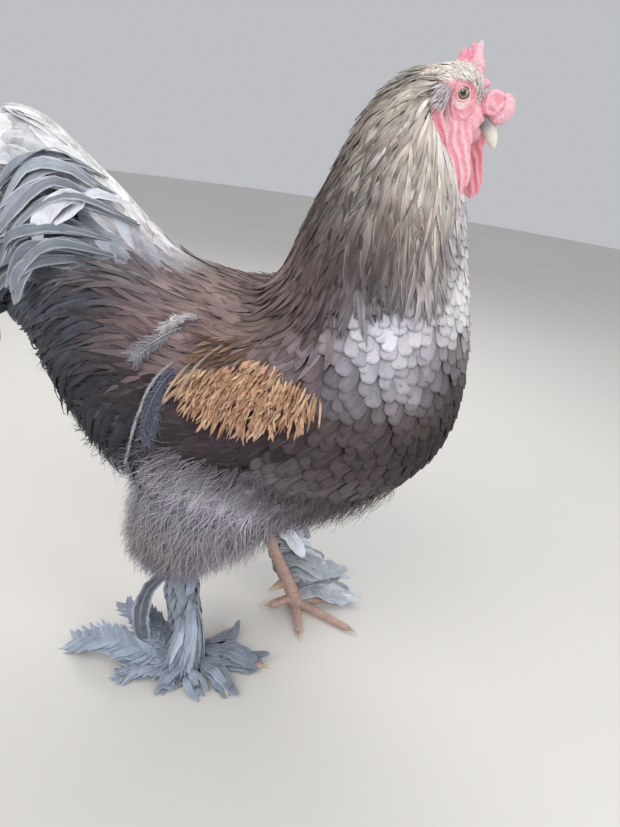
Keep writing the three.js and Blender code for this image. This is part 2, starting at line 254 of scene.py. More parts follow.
def corner_numbers(mesh):
    """The point that each face corner stands on."""
    numbers = np.empty(len(mesh.loops), np.int32)
    mesh.loops.foreach_get("vertex_index", numbers)
    return numbers


def colour_points(mesh, name, colours):
    """Stores a colour and a fourth value for each point."""
    layer = mesh.attributes.new(name, "FLOAT_COLOR", "POINT")
    layer.data.foreach_set("color", np.ascontiguousarray(colours, np.float32).ravel())


def map_points(mesh, name, places):
    """Stores a flat map: each corner takes its point's place."""
    layer = mesh.uv_layers.new(name=name)
    layer.data.foreach_set("uv", np.ascontiguousarray(places[corner_numbers(mesh)], np.float32).ravel())


FLOOR_REACH, FLOOR_CORNERS = 6, 96
floor_ring = np.linspace(0, 2 * np.pi, FLOOR_CORNERS, endpoint=False)
floor_edge = FLOOR_REACH * columns(np.cos(floor_ring), np.sin(floor_ring), 0)
floor = build("studio_floor", floor_edge, [np.arange(FLOOR_CORNERS)[None]])
floor_paint = Stuff("pale_floor", roughness=0.85)
floor_tone = floor_paint.noise(1.2, 2)
floor_paint.drive("Base Color", floor_paint.blend(floor_tone, paint(216, 212, 206), paint(224, 221, 216)))
floor.data.materials.append(floor_paint.material)
world = bpy.data.worlds.new("pale_room")
world.use_nodes = True
world.node_tree.nodes["Background"].inputs["Color"].default_value = (0.93, 0.95, 1.0, 1)
world.node_tree.nodes["Background"].inputs["Strength"].default_value = 0.55
bpy.context.scene.world = world
bpy.context.scene.view_settings.view_transform = "Standard"

# The body under its feathers: one plucked skin from the rump to the crown, widest at the breast and drawn up
# into the neck. Its sections are ovals between a line along the back and a line along the keel, throat and
# face. Each row is back x, z, underside x, z and half width, in millimetres at the feathers' surface.
BODY_ROWS = np.array([
    (-296, 420, -276, 348, 36), (-250, 462, -232, 298, 66), (-186, 484, -184, 254, 94),
    (-114, 472, -116, 218, 117), (-58, 466, -62, 198, 127), (-30, 466, 0, 208, 131),
    (-20, 470, 60, 232, 130), (-14, 477, 110, 262, 127), (-9, 484, 150, 292, 121),
    (-6, 491, 176, 330, 113), (-3, 499, 186, 375, 105), (1, 513, 184, 420, 97), (6, 529, 178, 460, 90),
    (12, 547, 167, 500, 81), (20, 568, 154, 545, 71), (33, 605, 141, 590, 57), (51, 641, 127, 618, 46),
    (73, 664, 114, 640, 34), (101, 683, 112, 652, 22),
]) / 1000
BODY_FULL = 0.86  # under 1 the oval's flanks are fuller than an ellipse's
WING_BULGE = 0.010
CROWN = len(BODY_ROWS) - 1


def between(rows, place):
    """A smooth curve through rows of numbers, read at a place counted in rows: Catmull and Rom's cubic, which
    passes each row with the slope of its two neighbours, and a straight line beyond the ends."""
    last = len(rows) - 1
    held = np.clip(place, 0, last)
    i = np.minimum(held.astype(int), last - 1)
    t = (held - i)[..., None]
    p1, p2 = rows[i], rows[i + 1]
    p0 = np.where((i > 0)[..., None], rows[np.maximum(i - 1, 0)], 2 * p1 - p2)
    p3 = np.where((i < last - 1)[..., None], rows[np.minimum(i + 2, last)], 2 * p2 - p1)
    curve = (
        2 * p1 + (p2 - p0) * t + (2 * p0 - 5 * p1 + 4 * p2 - p3) * t**2 + (3 * p1 - p0 - 3 * p2 + p3) * t**3
    )
    beyond = (place - held)[..., None] * (p2 - p1)
    return curve / 2 + beyond


def oval(rows, place, turn, full):
    """A point on an oval section: from the middle of the top and underside points, their half distance times
    the cosine of the turn, and the half width times its sine, sideways. A sixth column shifts the section
    sideways."""
    row = between(rows, place)
    angle = 2 * np.pi * turn
    middle, tall = (row[..., 0:2] + row[..., 2:4]) / 2, (row[..., 0:2] - row[..., 2:4]) / 2
    plane = middle + tall * np.cos(angle)[..., None]
    wide = row[..., 4] * np.sign(np.sin(angle)) * np.abs(np.sin(angle)) ** full
    if rows.shape[1] > 5:
        wide = wide + row[..., 5]
    return columns(plane[..., 0], wide, plane[..., 1])


def coat(place, turn):
    """The feathers' surface over the trunk and neck: the body's oval, swelled sideways where the wing lies
    folded by a bell curve in x and z. Turn 0 is the back, a quarter the left side, a half the keel."""
    points = oval(BODY_ROWS, place, turn, BODY_FULL)
    x, z = points[..., 0], points[..., 2]
    bell = np.exp(-(((x + 0.02) / 0.12) ** 2) - ((z - 0.345) / 0.075) ** 2)
    points[..., 1] += np.sin(2 * np.pi * turn) * WING_BULGE * bell
    return points


def outward(points, faces):
    """The same faces, turned over if the form they close has a negative volume."""
    volume = 0
    for face in faces:
        a, b, c = points[face[:, 0]], points[face[:, 1]], points[face[:, 2]]
        volume += (a * np.cross(b, c)).sum()
        if face.shape[1] == 4:
            volume += (a * np.cross(c, points[face[:, 3]])).sum()
    return faces if volume > 0 else [face[:, ::-1] for face in faces]


def closed(grid):
    """A ringed grid with a point at the middle of each end: its points, and its square and end faces."""
    rings, around = grid.shape[:2]
    points = np.concatenate([grid.reshape(-1, 3), grid[:1].mean(1), grid[-1:].mean(1)])
    ring, spoke = np.meshgrid(np.arange(rings - 1), np.arange(around), indexing="ij")
    a, b = ring * around + spoke, ring * around + (spoke + 1) % around
    walls = columns(a, a + around, b + around, b).reshape(-1, 4)
    spoke = np.arange(around)
    following, end = (spoke + 1) % around, (rings - 1) * around
    first = columns(spoke, following, rings * around)
    last = columns(following + end, spoke + end, rings * around + 1)
    return points, outward(points, [walls, np.concatenate([first, last])])


def loft(rows, rings=28, around=24, full=1.0, blunt=(0.1, 0.1)):
    """A closed form through oval sections. Rings crowd towards the ends by a cosine, and over the first and
    last share (blunt) of the length a section shrinks to the middle as a circle's edge does."""
    share = (1 - np.cos(np.pi * np.linspace(0.02, 0.98, rings))) / 2
    near, far = np.minimum(share / blunt[0], 1), np.minimum((1 - share) / blunt[1], 1)
    plump = np.sqrt(1 - (1 - near) ** 2) * np.sqrt(1 - (1 - far) ** 2)
    turn = np.arange(around) / around
    place, turn = np.meshgrid(share * (len(rows) - 1), turn, indexing="ij")
    grid = oval(rows, place, turn, full)
    middle = grid.mean(1, keepdims=True)
    return middle + (grid - middle) * plump[:, None, None]


COAT_DEPTH = np.interp(np.arange(CROWN + 1), [0, 3, 8, 12, 15, CROWN], [10, 15, 13, 20, 16, 9]) / 1000
HEAD_TIP = np.radians(47)  # the bill points this far below level
SKIN_CELL = 0.0008


def from_head(points):
    """From the head's frame, +X along the bill and +Z to the crown in millimetres, to the bird's: a turn
    about Y by the bill's slope, then a shift to the eyes."""
    cos, sin = np.cos(HEAD_TIP), np.sin(HEAD_TIP)
    x, y, z = np.moveaxis(np.asarray(points, float) / 1000, -1, 0)
    return columns(cos * x + sin * z + EYE_AT[0], y, cos * z - sin * x + EYE_AT[2])


def pebble(centre, radii, around=28):
    """An ellipsoid in millimetres of the bird's frame: the circle's sine and cosine by its three radii."""
    lift, turn = np.linspace(0.05, np.pi - 0.05, around // 2), np.arange(around) * 2 * np.pi / around
    lift, turn = np.meshgrid(lift, turn, indexing="ij")
    ball = columns(np.sin(lift) * np.cos(turn), np.sin(lift) * np.sin(turn), np.cos(lift))
    return (np.array(centre) + ball * radii) / 1000


def ripple(points, size, seed):
    """Smooth random waves from -1 to 1: the mean of eight sines that run in seeded directions, about size
    long."""
    draw = np.random.default_rng(seed)
    ways = unit(draw.normal(size=(8, 3))) * draw.uniform(0.7, 1.4, (8, 1)) * 2 * np.pi / size
    return np.sin(points @ ways.T + draw.uniform(0, 2 * np.pi, 8)).mean(-1) * 2.2


def step(value, low, high):
    """0 below low, 1 above high, and an S curve between."""
    share = np.clip((value - low) / (high - low), 0, 1)
    return share * share * (3 - 2 * share)


def ridge(value, at, width):
    """A bell of height 1 about a value."""
    return np.exp(-(((value - at) / width) ** 2))


def settle(piece):
    """Applies the piece's modifiers to its mesh."""
    shaped = bpy.data.meshes.new_from_object(piece.evaluated_get(bpy.context.evaluated_depsgraph_get()))
    rough = piece.data
    piece.modifiers.clear()
    piece.data = shaped
    bpy.data.meshes.remove(rough)


def together(name, grids):
    """One object from several closed forms, each its own shell."""
    points, faces, count = [], [], 0
    for grid in grids:
        own, shells = closed(grid)
        points.append(own)
        faces += [face + count for face in shells]
        count += len(own)
    return build(name, np.concatenate(points), faces)


# The bare head, all one fold of skin: a skull with heavy brows, wrinkled lids in rings round a deep-set eye,
# cheeks that run down into two long wattles, earlobes behind them, and a comb in three parts: a folded lobe
# over the bill, a low pale saddle and an upright block with two points.
SKULL_ROWS = np.array([
    (-30, 4, -30, -16, 11), (-22, 10, -22, -20, 15), (-10, 14.5, -10, -20.5, 18), (2, 15.5, 2, -18, 17.6),
    (14, 13, 14, -15.5, 13.5), (24, 10, 24, -13, 10), (31, 7, 31, -9, 7.5),
])
CHEEK_ROWS = np.array([
    (110, 667, 143, 655, 4.5, 13.5), (109, 652, 148, 643, 6, 12.5), (112, 636, 148, 630, 5, 13),
    (119, 620, 147, 617, 4, 14.5), (127, 606, 147, 606, 3, 16),
])
WATTLE_ROWS = np.array([
    (117, 648, 146, 644, 5, 11.5), (119, 632, 149, 630, 4.2, 15), (124, 616, 152, 615, 3.8, 16.5),
    (131, 601, 154, 601, 3.4, 17.5), (138, 587, 155, 588, 2.9, 18), (144, 575, 151, 577, 2.0, 17.5),
])
LOBE_ROWS = np.array([
    (101, 656, 109, 660, 3.0, 20.5), (101, 643, 113, 645, 3.6, 22.5), (108, 628, 119, 631, 3.4, 22.5),
    (116, 615, 125, 618, 2.8, 20.5), (125, 602, 132, 605, 2.0, 18.5),
])
COMB_PEBBLES = [
    ((154, 0, 656), (11.5, 11.5, 12.5)), ((164, 0, 654.5), (9.2, 9.8, 12)), ((160, 0, 648), (9, 9.5, 8)),
    ((152, 6.5, 656), (8.5, 6, 10.5)), ((152, -6.5, 656), (8.5, 6, 10.5)), ((148, 0, 650), (8, 8, 7)),
    ((141, 0, 671), (7, 7, 5)), ((134, 0, 674), (8, 7.5, 5.5)), ((125, 0, 679), (9, 7, 6)),
    ((130.5, 0, 688), (6.6, 4.6, 12.5)), ((127.6, 1.2, 696.5), (2.9, 2.7, 5.5)),
    ((133, -1.0, 697), (2.7, 2.7, 6.5)), ((120.8, 0, 688), (4.8, 4.4, 8.6)), ((136, 0, 683), (4.6, 4.4, 7)),
    ((117.5, 0, 683), (4, 4, 5)),
]
head_grids = [from_head(loft(SKULL_ROWS, 40, 48, 0.9, (0.2, 0.1)))]
head_grids += [pebble(*spot) for spot in COMB_PEBBLES]
for side in (-1, 1):
    swing = np.array([0, 0, 0, 0, 1, 1.5]) * 1.2 * side + side * 2.0
    forward = 2.0 if side > 0 else -5.0
    for rows, sway, hung in ((CHEEK_ROWS, 0, 1), (WATTLE_ROWS, swing, 1), (LOBE_ROWS, 0, 0)):
        rows = rows.copy()
        rows[:, 0] += sway
        rows[:, 2] += sway
        rows[:, 2] += hung * forward * np.clip((646 - rows[:, 3]) / 12, 0, 1)
        rows[:, 5] *= side
        head_grids.append(loft(rows, 36, 28, 0.8, (0.12, 0.14)) / 1000)
    head_grids.append(pebble((143, side * 11, 643), (6.5, 5, 6)))
    head_grids.append(pebble((127, side * 9, 674), (10, 6, 4.5)))
head_grids.append(pebble((136, 0, 634), (14, 8, 12)))
skin = together("skin", head_grids)
remesh = skin.modifiers.new("one_fold", "REMESH")
remesh.mode, remesh.voxel_size = "VOXEL", SKIN_CELL
smooth = skin.modifiers.new("soften", "SMOOTH")
smooth.factor, smooth.iterations = 0.5, 4
settle(skin)

# The skin about the eyes is wrinkled finer than the rest, so its cells are halved there first.
fine = bmesh.new()
fine.from_mesh(skin.data)
eye_places = [PLACE + EYE_AT * (1, side * 1.4, 1) for side in (-1, 1)]
close_edges = [
    edge for edge in fine.edges
    if min(np.hypot(edge.verts[0].co.x - eye[0], edge.verts[0].co.z - eye[2]) for eye in eye_places) < 0.013
    and abs(edge.verts[0].co.y - PLACE[1]) > 0.010
]
bmesh.ops.subdivide_edges(fine, edges=close_edges, cuts=1, use_grid_fill=True, smooth=0.3)
bmesh.ops.triangulate(fine, faces=[f for f in fine.faces if len(f.verts) > 4])
fine.to_mesh(skin.data)
fine.free()


def pleat(points):
    """Waves from -1 to 1 across the cheeks and wattles, so that folds run down them: a wandering sine of x
    and z in millimetres, faded in below the eyes and on the outer sides only."""
    x, y, z = points.T
    wave = np.sin((x + 0.42 * (z - 620)) * 2 * np.pi / 7.5 + 1.8 * ripple(points, 24, 5) + 0.6 * np.sign(y))
    return wave * step(660 - z, 14, 30) * step(np.abs(y), 9, 12)


def lid_rings(x, z, slope=0.0):
    """Distances from the middle of three ovals about the eye, 1 on each one's own line: the opening, the edge
    of the lids and the fold round them. The slope narrows the opening towards the bill."""
    opening = np.hypot((x - 127.4) / 4.3, (z - 659.7) / (3.8 - slope * (x - 127)))
    return opening, np.hypot((x - 126.6) / 7.0, (z - 657.3) / 9.4), np.hypot(
        (x - 128.6) / 9.8, (z - 656.6) / 14.6
    )


SOCKET_DEPTH = 5.5
points = coordinates(skin.data) * 1000
normals = facings(skin.data)
x, y, z = points.T
outer = step(np.abs(normals[:, 1]), 0.25, 0.7) * step(np.abs(y), 8, 12)
wobble = 1 + 0.05 * ripple(points, 9, 3)
opening, lid, fold = lid_rings(x, z, 0.06)
opening, lid, fold = opening * wobble, lid * wobble, fold * wobble**2
rings = 0.95 * ridge(opening, 1.24, 0.2) - 0.45 * ridge(opening, 1.62, 0.12)
rings += 0.65 * ridge(lid, 1.0, 0.12) - 0.55 * ridge(lid, 1.24, 0.09)
rings += 1.25 * ridge(fold, 1.0, 0.11) - 0.8 * ridge(fold, 1.24, 0.09)
pleats = 0.9 * pleat(points) * step(z - 572, 2, 14)
comb_area = np.maximum(step(x + 0.25 * (z - 655), 142, 149) * step(z, 640, 646), step(z, 683, 687))
saddle = step(z + 0.75 * (x - 127), 682, 686) * (1 - comb_area) * step(8 - np.abs(y), 0, 4)
lobe = step(x, 140, 148) * step(700 - z, 22, 28)
comb_turn = np.hypot((x - 153.5) / 6.3, (z - 656.5) / 8.6) * (1 + 0.12 * ripple(points, 16, 12))
creases = 1.1 * ridge(comb_turn, 1.0, 0.17) - 1.6 * ridge(comb_turn, 0.62, 0.22)
creases = creases - 1.5 * ridge(comb_turn, 1.42, 0.15)
creases = creases * step(np.abs(y), 3, 8) - 0.9 * ridge(ripple(points * (1, 0.7, 1), 22, 11), 0.0, 0.14)
grain = 0.16 * ripple(points, 2.3, 21) + 0.2 * ripple(points, 4.2, 22)
relief = outer * rings + pleats + comb_area * (lobe * creases + 0.8 * grain) + saddle * 3.0 * grain
relief += 0.6 * grain * (1 - comb_area) * step(fold, 1.05, 1.4) * step(x, 108, 118)
points += normals * relief[:, None]
socket = outer * (1 - step(opening, 0.84, 1.02))
points[:, 1] -= np.sign(y) * SOCKET_DEPTH * socket
skin.data.vertices.foreach_set("co", (points / 1000 + PLACE).ravel())

# Trunk, neck and thighs are smooth plucked skin. The wings lie folded in it as one swelling on each side.
place, turn = np.meshgrid(np.linspace(0, CROWN, 130), np.arange(112) / 112, indexing="ij")
inner_rows = BODY_ROWS.copy()
span = inner_rows[:, 0:2] - inner_rows[:, 2:4]
inner_rows[:, 0:2] -= unit(span) * COAT_DEPTH[:, None]
inner_rows[:, 2:4] += unit(span) * COAT_DEPTH[:, None]
inner_rows[:, 4] -= COAT_DEPTH
flesh = oval(inner_rows, place, turn, BODY_FULL)
flesh[..., 1] += coat(place, turn)[..., 1] - oval(BODY_ROWS, place, turn, BODY_FULL)[..., 1]

# Legs: a feathered drumstick, then a shank and four toes in scaly skin. Wide plates overlap down the front of
# the shank and over the toes, and each toe swells at its joints and stands flat on its pads.
FEET = {
    "right": {"side": -1, "at": (-0.056, -0.058), "heading": 8, "lean": 9},
    "left": {"side": 1, "at": (0.038, 0.084), "heading": -16, "lean": 29},
}
SHANK = 0.128
TOES = {"inner": (-53, 62, 0), "middle": (0, 88, 0), "outer": (44, 68, 0), "hind": (-130, 38, 7)}
THIGH_STATIONS = np.array([
    (-20, 58, 272, 84, 94, 46, 0), (-34, 64, 232, 72, 86, 50, 0), (-30, 68, 192, 50, 74, 46, 0.5),
    (0, 70, 160, 26, 54, 32, 0.9), (0, 70, 138, 12, 20, 15, 1),
])


def hock(foot):
    """The heel joint: from the foot up the shank, which leans back."""
    lean = np.radians(foot["lean"])
    return np.array([foot["at"][0] - SHANK * np.sin(lean), foot["at"][1], 0.012 + SHANK * np.cos(lean)])


def thigh_rows(foot):
    """The drumstick's level sections, front edge, back edge, half width and side shift: they start in the
    flank and follow the heel more and more on the way down."""
    x, y, z, front, back, half = THIGH_STATIONS[:, :6].T / 1000
    follow = THIGH_STATIONS[:, 6]
    heel = hock(foot)
    x = (x + foot["at"][0] * 0.2) * (1 - follow) + heel[0] * follow
    y = foot["side"] * y * (1 - follow) + foot["at"][1] * follow
    z = z + (heel[2] - 0.134) * follow
    return columns(x + front, z, x - back, z, half, y)


def limb(start, end, halves, rings, around, plates, raised, flat=0.86):
    """A scaly tube from start to end: a circle by the smooth run of halves, with a saw-tooth of overlapping
    plates that rises towards the far end of each plate, on the upper half of the tube, whose far end is
    rounded."""
    start, end = np.asarray(start, float), np.asarray(end, float)
    way = unit(end - start)
    side = unit(np.cross([0, 0, 1], way)) if abs(way[2]) < 0.95 else np.array([0, 1.0, 0])
    top = np.cross(way, side)
    share, turn = np.meshgrid(np.linspace(0, 1, rings), np.arange(around) / around * 2 * np.pi, indexing="ij")
    half = between(np.asarray(halves, float)[:, None], share * (len(halves) - 1))[..., 0]
    tooth = (share * plates + 0.08 * np.sin(2 * turn)) % 1
    half = half + raised * (tooth - 0.5) * step(np.cos(turn), -0.2, 0.5)
    half = half * np.sqrt(1 - 0.94 * np.clip((share - 0.93) / 0.07, 0, 1) ** 2)
    ring = half[..., None] * (np.cos(turn)[..., None] * top * flat + np.sin(turn)[..., None] * side)
    return start + share[..., None] * (end - start) + ring


leg_grids = []
for foot in FEET.values():
    thigh = thigh_rows(foot)
    thigh[:, 0] -= 0.016
    thigh[:, 2] += 0.016
    thigh[:, 4] -= 0.011
    thigh[-2:, [0, 2, 4]] += np.array([[0.006, -0.006, 0.004], [0.012, -0.012, 0.007]])
    leg_grids.append((loft(thigh, 36, 40, 1.0, (0.1, 0.16)), 1))
    sole = np.array([*foot["at"], 0.010])
    heel = hock(foot)
    halves = np.array([1.18, 0.98, 0.84, 0.86, 1.0, 1.1]) * 0.0092
    leg_grids.append((limb(heel + (heel - sole) * 0.05, sole, halves, 150, 36, 21, 0.0009, 0.98), 2))
    pad = pebble((0, 0, 0), (12.5, 12.5, 9.5)) + np.array([*foot["at"], 0.0085])
    leg_grids.append((pad, 2))
    for turned, length, rise in TOES.values():
        angle = np.radians(foot["heading"] + foot["side"] * turned)
        way = np.array([np.cos(angle), np.sin(angle), 0])
        knuckles = np.array([1.3, 1.12, 0.98, 1.06, 0.84, 0.94, 0.76, 0.84, 0.62]) * 0.0062
        if length < 50:
            knuckles = np.array([1.2, 1.1, 0.95, 1.0, 0.66]) * 0.0062
        start = np.array([*foot["at"], 0.0062 + rise / 1000]) + way * 0.003
        end = np.array([*foot["at"], 0.0040]) + way * length / 1000
        leg_grids.append((limb(start, end, knuckles, 90, 24, length / 4.2, 0.0007, 0.92), 2))

# Each form is joined to the head as a solid, so no seam is left in the skin. It keeps its own finish: bare
# red skin on the head, thin grey skin under the feathers and scales on the shanks and toes.
face_skin = Stuff("bare_red_skin", roughness=0.42, subsurface_weight=0.12, subsurface_scale=0.004)
plucked_skin = Stuff("plucked_skin", roughness=0.7)
leg_scales = Stuff("leg_scales", roughness=0.48)
skin_finishes = (face_skin, plucked_skin, leg_scales)
skin.data.materials.clear()
for finish in skin_finishes:
    skin.data.materials.append(finish.material)
for grid, finish in [(flesh, 1), *leg_grids]:
    points, faces = closed(grid)
    part = build("part", points, faces)
    for stuff in skin_finishes:
        part.data.materials.append(stuff.material)
    part.data.polygons.foreach_set("material_index", np.full(len(part.data.polygons), finish, np.int32))
    join = skin.modifiers.new("join", "BOOLEAN")
    join.operation, join.solver, join.object = "UNION", "MANIFOLD", part
    settle(skin)
    bpy.data.objects.remove(part)
points = coordinates(skin.data)
points[:, 2] = np.maximum(points[:, 2], 0)
skin.data.vertices.foreach_set("co", (points + PLACE).ravel())
skin.data.update()

# Where the skin shows, its colour follows its parts. The face is pink with pale lids, the saddle of the comb
# nearly white, and the shanks orange flesh that pales over the toes. Light and shade are painted into the
# face too: the wattles paler where they face outwards and along the crests of their pleats, deeper red down
# in the pleats and in the groove round the lids, the wattles' inner sides a strong pink held light against
# their shade, a painted highlight on the front of the comb's lobe and grey painted shade round the nostril.
x, y, z = (points * 1000).T
normals = facings(skin.data)
opening, lid, fold = lid_rings(x, z)
blotch = 0.5 + 0.5 * ripple(points, 0.012, 31)
speck = 0.5 + 0.5 * ripple(points, 0.0035, 32)


def mixed(first, second, share):
    """Between two colours, or two arrays of them, by a share for each point."""
    share = np.clip(share, 0, 1)[:, None]
    return first * (1 - share) + second * share


outwards = normals[:, 1] * np.sign(y)
outer = step(np.abs(y), 9, 12)
wave = pleat(points * 1000)
comb_part = step(x + 0.25 * (z - 655), 142, 148) * step(z, 640, 646)
pillar = step(z, 684, 689)
pale_saddle = step(z + 0.75 * (x - 127), 671, 678) * (1 - comb_part) * (1 - pillar) * step(x, 108, 116)
behind = step(118 - x - 0.45 * (z - 640) * 0.6, -6, 2) * step(662 - z, 0, 8)
nostril = np.hypot((x - 149.5) / 4.0, (z - 638.5) / 4.0)
flesh_tint = mixed(paint(240, 152, 168), paint(255, 194, 208), blotch)
lobe_rim = mixed(paint(224, 104, 126), paint(252, 210, 220), step(x - 101 + 0.46 * (z - 650), 6, 10))
for shade, share in (
    # painted highlight: the wattles paler where their faces turn outwards
    (paint(255, 198, 214), 0.6 * step(outwards, 0.55, 0.98) * step(645 - z, 0, 12)),  # the wattles outside
    # painted shade down in the pleats and a painted highlight along their crests, following the folds' relief
    (paint(236, 104, 136), 0.55 * step(-wave, 0.1, 0.9)),  # down in their pleats
    (paint(255, 220, 230), 0.5 * step(wave, 0.3, 1.0)),  # along the pleats' crests
    # painted light: the wattles' inner sides, which hang in shade, kept a light strong pink
    (paint(255, 158, 176), 0.85 * step(-outwards, -0.1, 0.6) * step(650 - z, 4, 20)),  # the wattles inside
    (paint(244, 216, 218), 0.85 * (1 - step(lid, 0.95, 1.12)) * outer),  # the pale lids
    # painted shade in the groove round the lids
    (paint(224, 122, 140), 0.6 * ridge(fold, 0.8, 0.14) * outer),  # the groove round the lids
    (paint(206, 130, 138), 0.8 * ridge(opening, 1.02, 0.1) * outer),  # the lids' wet edge
    (mixed(paint(242, 146, 168), paint(255, 200, 216), blotch), comb_part),  # the comb's lobe over the bill
    # painted highlight paling the front of the comb's lobe
    (paint(255, 214, 228), 0.6 * comb_part * step(x, 158, 170)),  # its pale front
    (mixed(paint(236, 112, 148), paint(248, 164, 190), speck), pillar),  # the comb's rear block
    (paint(255, 216, 228), 0.85 * pillar * step(x, 127, 133)),  # its pale front
    (mixed(paint(240, 204, 206), paint(250, 236, 234), speck), 0.9 * pale_saddle),
    (lobe_rim, 0.75 * behind),
    # grey painted shade round the nostril, under the comb's lobe
    (paint(150, 134, 132), 0.7 * ridge(nostril, 0, 0.9)),
):
    flesh_tint = mixed(flesh_tint, shade, share)
leg_tint = mixed(paint(172, 134, 114), paint(200, 166, 146), blotch * 0.5 + speck * 0.5)
leg_tint = mixed(leg_tint, paint(196, 174, 160), 0.6 * step(0.02 - points[:, 2], 0, 0.02) * speck)
leg = z < 190
tint = np.ones((len(points), 4))
tint[:, :3] = np.where(leg[:, None], leg_tint, flesh_tint)
colour_points(skin.data, "tint", tint)


def skin_finish(stuff, grain_cell, grain_height, vary):
    """Colours a skin from its points' tint, darker and lighter in fine soft grain, and raises that grain."""
    own = stuff.stored("tint")
    grain = stuff.noise(1 / grain_cell, 4)
    fine = stuff.noise(2.7 / grain_cell, 2)
    share = (grain - 0.5) * vary + 0.5
    dark = stuff.blend(1.0, own, (0.84, 0.70, 0.71), "MULTIPLY")
    light = stuff.blend(0.28, own, (1, 0.93, 0.9))
    stuff.drive("Base Color", stuff.blend(share, dark, light))
    stuff.drive("Roughness", 0.38 + grain * 0.25)
    stuff.bump(grain + fine * 0.5, grain_height)


skin_finish(face_skin, 0.0017, 0.0009, 1.5)
skin_finish(leg_scales, 0.0022, 0.0006, 1.6)
grey = plucked_skin.noise(120, 3)
plucked_skin.drive("Base Color", plucked_skin.blend(grey, paint(96, 82, 78), paint(128, 116, 114)))
plucked_skin.bump(plucked_skin.noise(420, 2), 0.001)
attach(skin, "root")
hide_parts("head", "comb", "neck", "trunk")
for side in ("right", "left"):
    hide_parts(*[f"{part}_{side}" for part in ("wattle", "earlobe", "wing", "thigh", "shank")])
    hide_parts(*[f"toe_{toe}_{side}" for toe in TOES])

# Eyes: a dark round pupil in a pale grey and amber iris with a darker rim, under a clear wet cornea that
# stands a little proud of the ball. Each sits deep in its socket with the lids over its edge.
EYE_RADIUS = 0.0070
PUPIL, IRIS = 0.0023, 0.0047


def eyeball(side):
    """A ball whose pole faces outwards, raised there by a bell to the cornea's height."""
    lift, turn = np.meshgrid(
        np.linspace(0.03, np.pi - 0.03, 40), np.arange(56) / 56 * 2 * np.pi, indexing="ij"
    )
    reach = EYE_RADIUS + 0.0007 * np.exp(-((lift / 0.55) ** 2))
    ring = columns(np.sin(lift) * np.cos(turn), side * np.cos(lift), np.sin(lift) * np.sin(turn))
    return EYE_AT * (1, side, 1) + reach[..., None] * ring


eye_look = Stuff("wet_eye", roughness=0.12, coat_weight=1.0, coat_roughness=0.02)
eye_where = eye_look.node("ShaderNodeTexCoord", output="Object")
eye_from = eye_look.vector("SUBTRACT", eye_where, tuple(PLACE + EYE_AT))
flat = eye_look.vector("MULTIPLY", eye_from, (1, 0, 1))
from_axis = eye_look.vector("LENGTH", flat, output="Value")
streak = eye_look.noise(9.0, 4.0, eye_look.vector("NORMALIZE", flat))
iris = eye_look.blend(streak.ramp(0.35, 0.65), paint(122, 100, 84), paint(168, 148, 130))
iris = eye_look.blend(from_axis.ramp(PUPIL * 1.3, PUPIL), iris, paint(84, 66, 52))
iris = eye_look.blend(from_axis.ramp(IRIS * 0.86, IRIS), iris, paint(70, 44, 36))
eye_look.drive(
    "Base Color", eye_look.blend(from_axis.ramp(PUPIL * 1.06, PUPIL * 0.96), iris, (0.006, 0.006, 0.007))
)
for name, side in (("right", -1), ("left", 1)):
    eye = build(f"eye_{name}_ball", *closed(eyeball(side)))
    eye.data.materials.append(eye_look.material)
    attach(eye, "root")
    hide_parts(f"eye_{name}")

# Beak: two sheaths of pale horn over the jaws, short and strongly hooked, grey at the root, which is painted
# shade where it tucks under the comb's lobe, and yellowish at the tip, with fine growth lines round them. The
# upper one closes over the lower with a dark line between.
UPPER_BEAK_ROWS = np.array([
    (18, 10, 18, -4.2, 8.4), (28, 9.6, 27, -3.6, 8.0), (37, 9.8, 35, -3.2, 6.8), (44.5, 8.0, 41.5, -3.2, 5.2),
    (49.5, 5.0, 46, -3.2, 3.6), (52.6, 1.8, 49.5, -2.6, 2.1), (53.8, -0.8, 52.2, -2.4, 0.8),
])
LOWER_BEAK_ROWS = np.array([
    (18, -3.8, 18, -10.6, 7.2), (26, -3.8, 26, -9.6, 6.0), (31, -3.8, 31, -8.0, 4.6),
    (35, -3.6, 35, -5.8, 2.6),
])
horn_look = Stuff("pale_horn", roughness=0.35, coat_weight=0.15)


def horn_finish(stuff, root, tip, share, lines):
    """Horn from a root colour to a tip colour by a share, with growth lines as fine waves and soft
    clouding."""
    cloud = stuff.noise(160, 3)
    body = stuff.blend((share + (cloud - 0.5) * 0.5).ramp(0.0, 1.0), root, tip)
    line = lines.math("SINE") * 0.5 + 0.5
    stuff.drive("Base Color", stuff.blend(line * 0.08, body, root * 0.55))
    stuff.drive("Roughness", 0.3 + cloud * 0.2)
    stuff.bump(line * 0.6 + cloud * 0.6, 0.00025)


beak_where = horn_look.node("ShaderNodeTexCoord", output="Object")
bill_way = (float(np.cos(HEAD_TIP)), 0.0, float(-np.sin(HEAD_TIP)))
down_bill = horn_look.vector("DOT_PRODUCT", beak_where, bill_way, output="Value")
root_at = float(np.dot(PLACE + EYE_AT * (1, 0, 1), bill_way))
run = down_bill - root_at
# the beak root's grey is painted shade under the comb's lobe
horn_finish(horn_look, paint(132, 126, 132), paint(234, 227, 214), (run - 0.030) / 0.014, run * 5200)
for name, rows in (("beak_upper", UPPER_BEAK_ROWS), ("beak_lower", LOWER_BEAK_ROWS)):
    sheath = build(f"{name}_sheath", *closed(from_head(loft(rows, 60, 40, 0.86, (0.03, 0.08)))))
    sheath.data.materials.append(horn_look.material)
    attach(sheath, "root")
    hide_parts(name)

# Claws and spurs: cones of horn that bend as they taper, brownish at the root and pale at the point.
claw_look = Stuff("claw_horn", roughness=0.4)
claw_along = claw_look.node("ShaderNodeUVMap", {"uv_map": "length"})
claw_share = claw_look.node("ShaderNodeSeparateXYZ", {}, {0: claw_along}, output="Y")
horn_finish(claw_look, paint(170, 146, 120), paint(226, 212, 184), claw_share, claw_share * 60)


